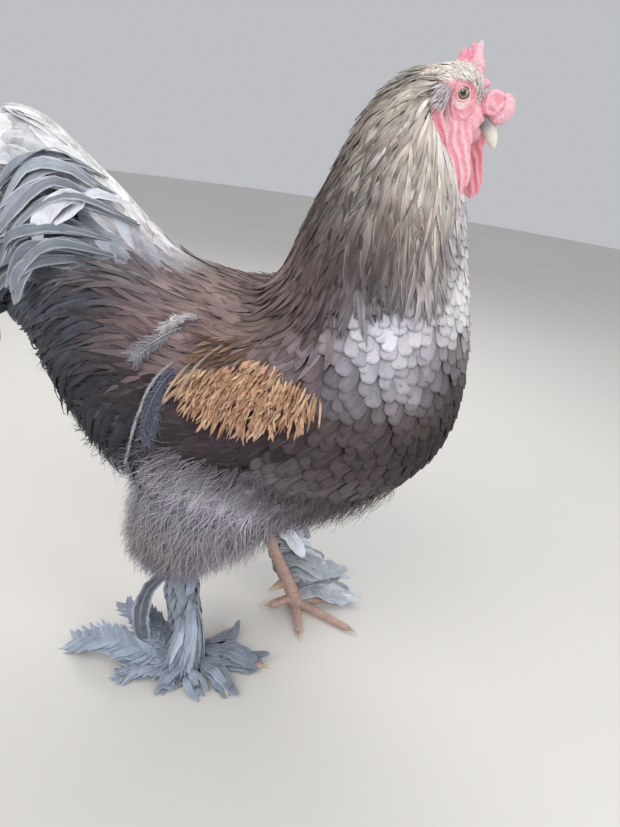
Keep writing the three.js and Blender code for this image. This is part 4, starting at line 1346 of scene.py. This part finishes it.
def bow_tract(place, side):
    """The small feathers above the bay."""
    return (place > 4.2) & (place < 6.1) & (side > 0.235) & (side < 0.29)


def flight_tract(place, side):
    """The dark band of flight feathers below the bay and behind it."""
    return (place > 3.4) & (place < 8.4) & (side > 0.36) & (side < 0.50)


bay_feather = feather_finish("ragged_covert", 10, 0.0, 0.75, 0.0006, 0.4)
draw = np.random.default_rng(201)
flights = roots(coat, 30000, flight_tract, 0.0100, 210)
bows = roots(coat, 90000, bow_tract, 0.0034, 220)
bays = roots(coat, 300000, bay_tract, 0.0021, 230)


def on_side(name, spots):
    """The places and turns, of those given, that lie on one side."""
    part = dict(sides(spots[1]))[name]
    return spots[0][part], spots[1][part]


for name in ("right", "left"):
    wing = Flock(draw)
    place, turn = on_side(name, flights)
    count = len(place)
    spine, out = lie(
        coat, place, turn, 0.046 * draw.uniform(0.8, 1.2, count), 0.002,
        0.003 * draw.uniform(0.4, 1.4, count), 0.35, draw.normal(0, 0.1, count), draw.normal(0, 0.1, count),
        8,
    )
    ground = speckled(even(paint(56, 49, 53), count), draw, 0.2)
    wing.lay(
        spine, out, 0.0090, (0.6, 0.55, 0.6), 0.0004, (ground, ground * 0.9), (ground * 1.8, 0.4),
        patches(place, turn), 0.15,
    )
    place, turn = on_side(name, bows)
    count = len(place)
    spine, out = lie(
        coat, place, turn, 0.026 * draw.uniform(0.7, 1.2, count), 0.001,
        0.006 * draw.uniform(0.5, 1.3, count), 1.0, draw.normal(0, 0.25, count), draw.normal(0, 0.3, count),
        8,
    )
    ground = speckled(even(paint(118, 96, 86), count), draw, 0.2)
    cream = mixed(paint(232, 212, 188), paint(188, 142, 108), draw.uniform(0, 1, count) ** 0.6)
    wing.lay(
        spine, out, 0.0015 * draw.uniform(0.6, 1.4, count), (0.5, 0.6, 0.6), 0.0003,
        (ground, mixed(ground, cream, draw.uniform(-0.6, 1.5, count)), 0.75),
        (cream, draw.uniform(0, 0.9, (count, 1)) ** 2), patches(place, turn), 0.2,
    )
    wing.piece(f"wing_bow_and_flights_{name}", soft_feather, "wing_feathers", f"wing_{name}")
    wing = Flock(draw)
    place, turn = on_side(name, bays)
    count = len(place)
    low = step(down_side(turn), 0.36, 0.45)
    spine, out = lie(
        coat, place, turn, (0.020 + 0.004 * low) * draw.uniform(0.65, 1.2, count), 0.001,
        (0.0065 + 0.003 * low) * draw.uniform(0.5, 1.3, count), 7.0, draw.normal(0, 0.2, count),
        draw.normal(0, 0.3, count), 7,
    )
    tan = mixed(paint(250, 208, 174), paint(198, 152, 124), draw.uniform(0, 1, count) ** 1.3)
    tips = mixed(tan * 0.85, paint(152, 106, 80), draw.uniform(0, 1, count) ** 2)
    tips = mixed(tips, paint(206, 190, 184), (draw.uniform(0, 1, count) < 0.05) * 0.9)
    wing.lay(
        spine, out, 0.0011 * draw.uniform(0.6, 1.8, count), (0.5, 0.66, 0.6), 0.0003,
        (speckled(tan, draw, 0.16), tips, 0.86), (tan * 1.15, 0.3), patches(place, turn), 0.2, 0.4, fray=0.5,
    )
    wing.piece(f"wing_bay_{name}", bay_feather, "wing_feathers")

# Fluff: thick soft down over the belly, vent and thighs, blue grey to brown, the brown darkened under the
# breast with painted shade. Fine strands spring from each root in a tuft, curl down and lie over the tufts
# below.
down_finish = feather_finish("soft_down", 6, 0.0, 0.75, 0.0002)
HAIR = 0.00032  # half width of a strand


def fluff(flock, spots, outs, ways, length, tint, patch, draw, hairs, points=4):
    """Tufts of strands: from each root several hairs start together and fan out about the way, bowing in a
    curve that starts outwards and bends down."""
    n = len(spots)
    spots, outs, ways, tint, patch = (np.repeat(v, hairs, axis=0) for v in (spots, outs, ways, tint, patch))
    length = np.repeat(np.broadcast_to(length, n), hairs) * draw.uniform(0.6, 1.15, n * hairs)
    side = unit(np.cross(outs, ways))
    way = unit(
        ways + side * draw.normal(0, 0.6, (n * hairs, 1)) + outs * draw.uniform(0.0, 0.45, (n * hairs, 1))
    )
    share = stations(points)[None, :, None]
    bow = outs[:, None] * draw.uniform(0.05, 0.3, (n * hairs, 1, 1)) * np.sin(np.pi * share * 0.9)
    fall = DOWN * draw.uniform(0.05, 0.35, (n * hairs, 1, 1)) * share**2
    sway = side[:, None] * draw.normal(0, 0.12, (n * hairs, 1, 1)) * share**2
    spine = spots[:, None] + length[:, None, None] * (way[:, None] * share + bow + fall + sway)
    tone = speckled(tint * 1.25, draw, 0.16, 0.02)
    flock.lay(
        spine, outs[:, None] + 0 * spine, HAIR * draw.uniform(0.7, 1.3, n * hairs), (0.7, 0.4, 0.8),
        HAIR * 0.5, (tone * 0.8, tone * 1.25), (tone, 0), patch, 0, corners=3,
    )


def belly_tract(place, side):
    """The underside from the vent to behind the breast, and up the flanks to the flights."""
    edge = np.interp(
        place, [0, 1, 2, 3, 4, 5, 6, 7, 8], [0.84, 0.80, 0.72, 0.56, 0.50, 0.51, 0.55, 0.70, 0.9]
    )
    return (place < 8) & (side > edge)


draw = np.random.default_rng(301)
place, turn = roots(coat, 16000, belly_tract, 0.0080, 302)
spot, out, along, _ = surface(coat, place, turn)
way = unit(-unit(along) + DOWN)
way = unit(way - out * (way * out).sum(1, keepdims=True) * 0.8)
for name, part in sides(turn):
    down = Flock(draw)
    fluff(
        down, (spot - out * 0.006)[part], out[part], way[part], 0.036, markings_and_painted_light(spot[part]),
        patches(place[part], turn[part]), draw, 18,
    )
    down.piece(f"belly_down_{name}", down_finish, "body_feathers")
for name, foot in FEET.items():
    rows = thigh_rows(foot)
    count = 3200 if name == "right" else 2400
    place, turn = draw.uniform(0.15, 3.9, count), draw.uniform(0, 1, count)
    spot = oval(rows, place, turn, 1.0)
    out = np.cross(oval(rows, place + HOP, turn, 1.0) - spot, oval(rows, place, turn + HOP, 1.0) - spot)
    centre = oval(rows, place, turn * 0, 1.0) * 0.5 + oval(rows, place, turn * 0 + 0.5, 1.0) * 0.5
    out = unit(out) * np.sign((out * (spot - centre)).sum(1, keepdims=True))
    inset = np.interp(place, [0, 3, 4], [0.010, 0.008, 0.004])[:, None]
    way = unit(np.array([-0.35, 0, -1.0]) + out * 0.1)
    leggings = Flock(draw)
    patch = columns(0.01 + 0.98 * turn, 0.01 + 0.98 * place / 4)
    fluff(
        leggings, spot - out * inset, out, way, np.interp(place, [0, 3, 4], [0.036, 0.032, 0.020]),
        markings_and_painted_light(spot), patch, draw, 3,
    )
    leggings.piece(f"thigh_down_{name}", down_finish, "body_feathers", f"thigh_{name}")

# Tail: a full short fan carried at a slope, rooted round the end of the back. Broad silvery quills arch over
# its top on both sides, and narrower ones fill it inside.
TAIL_ROOT = np.array([-0.118, 0, 0.452])
SICKLE = np.array([(0, 0), (-82, 62), (-144, 106), (-184, 124), (-218, 122), (-250, 102), (-272, 66)]) / 1000
TAIL_CHORD = np.array([-0.272, 0.155])  # the straight way that the line bends about
quill_finish = feather_finish("quill_feather", 60, 1.0, 0.55, 0.0005, 0.3)


def quills(flock, side, lower, size, splay, half, tint, lace, patch, draw, points, bend, first, last, tilt):
    """Tail feathers that share one arched line: the line is read from one share to another, shrunk by size,
    bent more or less, lowered by a turn about the tail's root, and carried outwards by splay as it goes."""
    n = len(lower)
    share = stations(points)[None] * (last - first)[:, None] + first[:, None]
    line = between(SICKLE, share * (len(SICKLE) - 1))
    chord = share[..., None] * TAIL_CHORD
    line = (chord + (line - chord) * bend[:, None, None]) * size[:, None, None]
    cos, sin = np.cos(lower)[:, None], np.sin(lower)[:, None]
    x, z = line[..., 0], line[..., 1]
    outwards = (side * splay)[:, None] * share**1.2 + (side * 0.005)[:, None]
    spine = columns(x * cos - z * sin, outwards, z * cos + x * sin) + TAIL_ROOT
    spine = spine + draw.normal(0, 0.0015, (n, 1, 3)) * share[..., None]
    out = columns(0 * lower, side * np.cos(tilt), np.sin(tilt))[:, None] + 0 * spine
    twist = draw.normal(0, 0.08, (n, 1)) + np.linspace(0, 0.25, points)[None] * side[:, None]
    flock.lay(spine, out, half, (0.4, 0.42, 0.5), 0.0006, (tint, tint * 1.1), lace, patch, 0.25, twist)


draw = np.random.default_rng(401)
tail = Flock(draw)
count = 26
side = np.where(np.arange(count) % 2, 1.0, -1.0)
share = np.arange(count) // 2 / (count // 2 - 1)
patch = columns(0.02 + 0.96 * share, 0.5 + 0.2 * side)
tone = speckled(mixed(paint(238, 243, 248), paint(104, 111, 122), share**0.5), draw, 0.08, 0.01)
quills(
    tail, side, 0.01 + share * 0.63, 1.0 - 0.16 * share, 0.012 + 0.030 * np.sin(np.pi * (0.1 + 0.6 * share)),
    0.026 - 0.005 * share, tone, (tone * 1.4 + 0.06, 0.5), patch, draw, 22, np.full(count, 1.0),
    np.full(count, 0.10), np.full(count, 0.97), 0.35 + 0 * share,
)
count = 40
side = np.where(np.arange(count) % 2, 1.0, -1.0)
share = draw.uniform(0, 1, count)
tone = speckled(mixed(paint(222, 228, 236), paint(104, 110, 122), share**0.6), draw, 0.16, 0.02)
quills(
    tail, side, 0.06 + 0.66 * share, 0.9 * draw.uniform(0.85, 1.1, count), draw.uniform(0.026, 0.052, count),
    draw.uniform(0.010, 0.014, count), tone, (tone * 1.6 + 0.12, 0.8),
    columns(0.02 + 0.96 * share, 0.2 + 0.1 * side), draw, 18, draw.uniform(0.9, 1.4, count),
    draw.uniform(0.2, 0.35, count), draw.uniform(0.85, 1.0, count), draw.uniform(0.1, 0.7, count),
)
tail.piece("tail_fan", quill_finish, "tail_feathers", "tail")

# Tail coverts: soft rounded feathers that clothe the tail's root from the saddle up. They arch over to both
# sides and droop, white along the top, mauve and blue grey lower down, with pale edges.
TAIL_ROWS = np.array([
    (-318, 590, -344, 520, 14), (-280, 584, -322, 464, 28), (-239, 560, -290, 402, 42),
    (-202, 531, -250, 360, 54), (-166, 502, -206, 330, 64), (-132, 481, -160, 312, 76),
    (-98, 472, -118, 300, 84),
]) / 1000


def tail_cone(place, turn):
    """The form the coverts lie on: ovals from the far end of the tail to the saddle."""
    return oval(TAIL_ROWS, place, turn, 0.9)


draw = np.random.default_rng(421)
place, turn = roots(
    tail_cone, 16000, lambda p, q: (p > 1.4) & (p < 6.4) & (q < 0.62),
    ([1, 3, 5, 6], [0.0110, 0.0088, 0.0062, 0.0050]), 422, 6.4,
)
count = len(place)
side = down_side(turn)
top = step(0.2 - side, 0, 0.1)
length = (
    varied(draw, place, [1.4, 2, 3, 5, 6], [0.050, 0.072, 0.084, 0.066, 0.048], 0.75, 1.2) * (1 + 0.3 * top)
)
half = varied(draw, place, [1, 3, 5, 6], [0.0092, 0.0086, 0.0060, 0.0042], 0.75, 1.25) * (1 + 0.4 * top)
droop = varied(draw, side, [0, 0.1, 0.3, 0.6], [0.0, 0.15, 0.75, 0.9], 0.6, 1.4)
spine, out = lie(
    tail_cone, place, turn, length, 0.003,
    (0.0015 + 0.0075 * step(side, 0.12, 0.36)) * draw.uniform(0.3, 1.3, count), droop,
    draw.normal(0, 0.1, count), draw.normal(0, 0.2, count), 12, 0.7,
)
ground = speckled(markings_and_painted_light(tail_cone(place, turn)), draw, 0.16, 0.015)
tip = speckled(markings_and_painted_light(spine[:, -1]), draw, 0.16, 0.015)
edge = mixed(ground * 1.5 + 0.05, paint(226, 228, 234), draw.uniform(0, 1, count) * step(5.6 - place, 0, 2))
coverts = Flock(draw)
coverts.lay(
    spine, out, half, (0.5, 0.55, 0.55), 0.0004, (ground * 0.85, tip * 1.1),
    (edge, draw.uniform(0.2, 0.9, (count, 1))), columns(0.01 + 0.98 * turn, 0.02 + 0.15 * place), 0.22, 0.12,
)
coverts.piece("tail_coverts", soft_feather, "tail_feathers")


def drawn(lines, points, drop=0.0):
    """Smooth curves through rows of four landmarks in millimetres, on the right side as given and mirrored on
    the left, there lower by the drop."""
    lines = np.reshape(lines, (-1, 4, 3)) / 1000
    both = np.concatenate([lines, lines * (1, -1, 1) - (0, 0, drop)])
    return np.stack([between(line, stations(points) * 3) for line in both])


# A few odd feathers stand out from the rest: short rounded ones and drooping sickles in the tail, and on each
# flank frayed white plumes, a long white quill with a slate vane, and two slim ones with straw edges.
draw = np.random.default_rng(451)
odd = Flock(draw)
for lines, half, copies, colour, edge, fray in (
    ([(-176, -18, 522, -207, -38, 530, -222, -50, 514, -240, -64, 494),
      (-204, -38, 518, -225, -56, 524, -246, -66, 500, -252, -68, 476)],
     0.0104, 1, (214, 220, 230), (240, 243, 248), 0.1),
    ([(-198, -14, 528, -232, -40, 548, -268, -52, 534, -304, -54, 494),
      (-186, -26, 510, -238, -50, 532, -280, -58, 508, -308, -58, 462),
      (-166, -22, 504, -228, -52, 524, -272, -62, 496, -292, -64, 448),
      (-210, -8, 536, -242, -34, 560, -284, -44, 546, -322, -46, 498)],
     0.0066, 3, (146, 154, 167), (226, 231, 239), 0.15),
    ([(-184, -40, 484, -236, -64, 494, -276, -66, 480, -304, -56, 444),
      (-172, -46, 470, -222, -72, 482, -260, -74, 462, -280, -68, 424),
      (-190, -46, 466, -238, -70, 468, -266, -74, 442, -276, -70, 412)],
     0.0066, 3, (126, 133, 146), (196, 204, 214), 0.15),
    ([(-56, -106, 414, -66, -125, 400, -74, -133, 384, -79, -137, 370),
      (-34, -100, 430, -50, -120, 412, -61, -130, 392, -67, -138, 374)],
     0.0013, 1, (206, 190, 170), (246, 238, 220), 0.3),
):
    lines = np.repeat(np.array(lines, float).reshape(-1, 4, 3), copies, axis=0)
    spine = drawn(lines + draw.normal(0, 3, lines.shape) * (copies > 1), 16, 0.026)
    n = len(spine)
    out = unit((spine - (-0.16, 0, 0.40)) * (0.25, 1, 0.25))
    tint = speckled(even(paint(*colour), n), draw, 0.16, 0.012)
    odd.lay(spine, out, half, (0.2, 0.6, 0.5), 0.0005, (tint * 0.9, tint * 1.1), (even(paint(*edge), n), 0.6),
            columns(np.linspace(0.05, 0.95, n), 0.9), 0.2, 0.2, fray=fray)
odd.piece("odd_sickles", soft_feather, "tail_feathers")


def combed(flock, spine, out, half, tint, lace, patch, draw, teeth, slim, droop):
    """Frayed feathers: a thin quill along each middle line, and on its sides rows of narrow barbs that start
    along the line, lean forward and shorten towards the tip."""
    n, points = spine.shape[:2]
    ahead = unit(np.gradient(spine, axis=1))
    flock.lay(spine, out, 0.045 * half, (1, 0.1, 0.6), 0.0004, (tint * 1.3, tint * 1.4), lace, patch, 0)
    for way in (-1, 1):
        share = np.linspace(0.06, 0.97, teeth)[None] + draw.normal(0, 0.012, (n, teeth))
        at = np.clip(share, 0, 1) * (points - 1)
        i = np.minimum(at.astype(int), points - 2)
        t = (at - i)[..., None]
        root, fore, up = (
            np.take_along_axis(v, i[..., None], 1) * (1 - t) + np.take_along_axis(v, i[..., None] + 1, 1) * t
            for v in (spine, ahead, out + 0 * spine)
        )
        side = unit(unit(np.cross(fore, up)) * way + fore * draw.normal(0, 0.2, (n, teeth, 1)))
        swell = np.sin(np.pi * np.clip(0.12 + 0.80 * share, 0, 1)) ** 0.6
        reach = half[:, None] * swell * draw.uniform(0.6, 1.15, (n, teeth))
        lean = (0.75 + 0.9 * share)[..., None, None]
        s = stations(5)[None, None, :, None]
        sag = draw.uniform(0.0, droop, (n, teeth, 1, 1)) * s**2
        barb = side[:, :, None] * s + fore[:, :, None] * lean * s * (0.6 + 0.4 * s) - up[:, :, None] * sag
        barb = root[:, :, None] + reach[:, :, None, None] * barb
        m = n * teeth
        tone = speckled(np.repeat(tint, teeth, axis=0), draw, 0.1, 0.01)
        flock.lay(
            barb.reshape(m, 5, 3), np.repeat(up.reshape(m, 1, 3), 5, axis=1),
            np.repeat(half / teeth * slim, teeth), (0.8, 0.45, 0.6), 0.0003, (tone, tone * 1.2),
            (tone * 1.4, 0.4), np.repeat(patch, teeth, axis=0), 0.1,
        )


plume = Flock(draw)
for lines, half, colour, under, teeth, droop in (
    ([(-78, -88, 432, -90, -103, 426, -104, -114, 415, -119, -120, 403),
      (-80, -88, 427, -94, -106, 420, -107, -116, 409, -116, -121, 398)],
     0.0092, (204, 206, 218), (122, 120, 132), 70, 1.4),
    ([(-68, -82, 438, -78, -96, 442, -87, -101, 437, -97, -108, 428)],
     0.0068, (255, 255, 255), (210, 210, 220), 50, 1.2),
    ([(-66, -98, 414, -90, -127, 390, -105, -135, 345, -121, -124, 288)],
     0.0024, (240, 243, 250), (236, 240, 248), 90, 0.8),
    ([(-64, -98, 410, -82, -126, 388, -93, -135, 358, -99, -136, 326),
      (-60, -98, 404, -76, -126, 382, -86, -134, 352, -92, -136, 322)],
     0.0100, (140, 146, 166), (88, 92, 110), 70, 0.9),
):
    spine = drawn(lines, 16)
    n = len(spine)
    out = unit((spine - (0, 0, 0.40)) * (0, 1, 0.3))
    patch = columns(np.linspace(0.2, 0.8, n), 0.3)
    tint, beneath = (even(paint(*shade), n) for shade in (colour, under))
    plume.lay(
        spine - out * 0.001, out, half * 0.6, (0.5, 0.55, 0.6), 0.0003, (beneath * 0.8, beneath),
        (tint, 0.5), patch, 0.3, fray=0.6,
    )
    combed(plume, spine, out, np.full(n, half), tint, (tint * 1.2, 0.3), patch, draw, teeth, 1.3, droop)
plume.piece("flank_plumes", soft_feather, "body_feathers")

# Foot feathering: stiff blue grey feathers. On the right foot a skirt of long ones falls from the hock to the
# floor and hides the toes, and large frayed ones spread back and out over the floor. The left shank carries
# broad pale ones.
foot_finish = feather_finish("foot_feather", 16, 0.5, 0.65, 0.0004, 0.3)
UPWARD, OUTWARD = (0, -0.25, 1), (0.1, -1, 0.2)
SCATTER = np.array([0.4, 1.0, 1.4, 1.8])  # how much copies stray at each landmark, from root to tip
# Each of the right foot's long ones: its middle line in millimetres from root to tip, half width, the way it
# faces, its teeth on a side, or 0 for a whole vane, how many lie there, and its shade on top and underneath.
FOOT_COMBS = [
    ([(-62, -84, 12), (-106, -100, 30), (-150, -99, 32), (-193, -92, 10)], 24, UPWARD, 11, 2, 1.0, 0.9),
    ([(-68, -82, 20), (-104, -80, 40), (-130, -68, 50), (-150, -52, 46)], 15, UPWARD, 9, 2, 0.9, 0.7),
    ([(-70, -74, 26), (-98, -66, 44), (-122, -54, 46), (-140, -38, 40)], 13, UPWARD, 9, 2, 0.62, 0.5),
    ([(-60, -90, 8), (-80, -101, 14), (-98, -110, 12), (-116, -116, 5)], 15, UPWARD, 9, 3, 1.1, 0.9),
    ([(-66, -84, 16), (-82, -96, 20), (-96, -98, 24), (-112, -92, 26)], 4, UPWARD, 9, 1, 1.9, 1.9),
    ([(-60, -88, 12), (-61, -102, 12), (-62, -112, 8), (-66, -122, 4)], 6, UPWARD, 0, 9, 1.1, 1.0),
    ([(-48, -84, 14), (-42, -98, 12), (-36, -106, 8), (-30, -114, 4)], 6, UPWARD, 0, 9, 0.95, 0.9),
    ([(-44, -72, 18), (-26, -84, 17), (-10, -93, 12), (4, -102, 6)], 8, UPWARD, 0, 8, 0.85, 0.74),
    ([(-44, -70, 14), (-22, -67, 13), (-2, -62, 10), (18, -57, 5)], 9, UPWARD, 0, 8, 0.8, 0.72),
    ([(-46, -60, 20), (-24, -56, 18), (0, -50, 13), (27, -45, 6)], 11, UPWARD, 0, 8, 0.75, 0.66),
    ([(-46, -50, 20), (-34, -37, 15), (-27, -24, 10), (-22, -8, 5)], 8, UPWARD, 0, 5, 0.75, 0.66),
    ([(-88, -64, 128), (-112, -76, 98), (-116, -86, 60), (-104, -92, 24)], 15, OUTWARD, 0, 2, 1.0, 0.3),
]


def shank_patches(t, turn, first):
    """The baked patches' places: round the shank by up it."""
    return columns(0.02 + turn % 6.28 / 6.6, first + t * 0.4)


def blades(flock, lines, halves, facing, tint, patch, draw, fray, points=14, spread=0.14, root=0.4):
    """Plain broad feathers along smooth curves through rows of four landmarks in metres, kept above the
    floor."""
    spine = np.stack([between(line, stations(points) * 3) for line in lines])
    spine[..., 2] = np.maximum(spine[..., 2], 0.003)
    tone = speckled(tint, draw, spread, 0.02)
    flock.lay(
        spine, unit(facing)[:, None] + 0 * spine, halves, (root, 0.68, 0.5), 0.0004,
        (tone * 0.8, tone * 1.12), (tone * 1.35, 0.5), patch, 0.22, 0.12, fray=fray,
    )


draw = np.random.default_rng(501)
for name, foot in FEET.items():
    side, flock = foot["side"], Flock(draw)
    sole, heel = np.array([*foot["at"], 0.013]), hock(foot)
    right = name == "right"
    base = paint(160, 172, 190) if right else paint(204, 212, 224)
    if right:
        for line, half, facing, teeth, copies, shade, beneath in FOOT_COMBS:
            stray = draw.normal(0, 0.003 if teeth else 0.0034, (copies, 4, 3)) * (copies > 2)
            lines = np.repeat(np.array([line]), copies, axis=0) / 1000 + stray * SCATTER[:, None]
            spines = np.stack([between(row, stations(14) * 3) for row in lines])
            spines[..., 2] = np.maximum(spines[..., 2], 0.004)
            halves = half / 1000 * draw.uniform(0.85, 1.0, copies)
            tone = speckled(even(base * shade, copies), draw, 0.1, 0.01)
            patch = draw.uniform(0.1, 0.9, (copies, 2))
            facing = unit(np.array(facing, float)) + 0 * spines
            under = tone * beneath / shade
            flock.lay(
                spines - facing * 0.0008, facing, 0.8 * halves, (0.3, 0.55 if teeth else 0.7, 0.4), 0.0003,
                (under * 0.85, under), (tone * 1.5, 0.3 if teeth else 0.5), patch, 0.15, fray=0.25,
            )
            if teeth:
                combed(
                    flock, spines, facing, halves, tone, (tone * 1.3, 0.3), patch, draw, teeth * 2, 2.4, 0.25
                )
    # the skirt, or on the left shank the broad feathers behind it
    m = 210 if right else 52
    t = draw.uniform(0.4, 1.05, m) if right else draw.uniform(0.0, 1.0, m)
    turn = np.radians(draw.uniform(-20, 215, m)) if right else np.radians(draw.uniform(55, 120, m))
    out = columns(np.cos(turn), side * np.sin(turn), 0)
    root = sole + (heel - sole) * t[:, None] + out * 0.010
    if right:
        outer = side * (0.014 + 0.036 * np.clip(np.sin(turn), 0, 1))
        spot = columns(0.024 * np.cos(turn) - 0.004, outer, 0.002) * draw.uniform(0.72, 1.05, (m, 1))
        knee = sole + (root - sole) * 0.62 + out * 0.004 + DOWN * 0.004
        over = sole + spot * 0.62 - DOWN * (0.024 + 0.026 * t[:, None])
        lines = np.stack([root, knee, over, sole + spot], axis=1)
        lines[:, 3, 2] = 0.004 + 0.03 * draw.uniform(0, 1, m) ** 3
        blades(
            flock, lines, 0.0036 * draw.uniform(0.6, 1.3, m), out + [0, 0, 0.3], even(base * 0.86, m),
            shank_patches(t, turn, 0.02), draw, 0.35, spread=0.18,
        )
    else:
        high = t[:, None]
        away = np.array([0.070, 0.036, -0.008]) * (1 - high) + np.array([0.042, 0.018, -0.040]) * high
        far = draw.uniform(0.7, 1.15, (m, 1)) * away + draw.normal(0, 0.011, (m, 3))
        bow = np.array([-0.3, 1, 0.9, -0.1])[:, None] * np.array([0, 0.002, 0.006])
        lines = root[:, None] + np.array([0, 0.3, 0.66, 1.0])[:, None] * far[:, None] + bow
        over_toe = np.array([(40, 88, 14), (68, 100, 20), (94, 110, 16), (120, 122, 6)]) / 1000
        lines = np.concatenate([lines, over_toe + draw.normal(0, 0.005, (7, 4, 3))])
        t, turn = np.concatenate([t, np.zeros(7)]), np.concatenate([turn, np.full(7, 1.6)])
        m += 7
        blades(
            flock, lines, 0.0100 * draw.uniform(0.6, 1.2, m),
            np.array([0.1, -0.6, 0.7]) + draw.normal(0, 0.35, (m, 3)), base * (0.72 + 0.16 * t[:, None]),
            shank_patches(t, turn, 0.02), draw, 0.2, spread=0.2, root=0.6,
        )
    # the boot: short soft feathers under them down the shank
    m = 240 if right else 90
    t = draw.uniform(0.25, 1.1, m)
    turn = np.radians(draw.uniform(-60, 240, m) if right else draw.uniform(60, 130, m))
    out = columns(np.cos(turn), side * np.sin(turn), 0)
    root = sole + (heel - sole) * t[:, None] + out * 0.008
    way = unit(np.array([-0.15 if right else 0.2, 0, -1.0]) + out * 0.3)
    line = (
        way[:, None] * np.array([0, 0.33, 0.67, 1])[:, None]
        + out[:, None] * np.array([0, 0.16, 0.16, 0])[:, None]
    )
    lines = root[:, None] + draw.uniform(0.022, 0.040, (m, 1, 1)) * line
    blades(
        flock, lines, np.full(m, 0.0040), out, even(base * 0.78, m), shank_patches(t, turn, 0.5), draw, 0.3, 8
    )
    for points in flock.points:  # what would sink into the floor is flattened softly on it
        height = points[:, 2]
        points[:, 2] = np.where(height < 0.002, 0.002 * np.exp(np.minimum(height, 0.002) / 0.002 - 1), height)
    flock.piece(f"foot_vanes_{name}", foot_finish, "foot_feathers", f"foot_feathers_{name}")
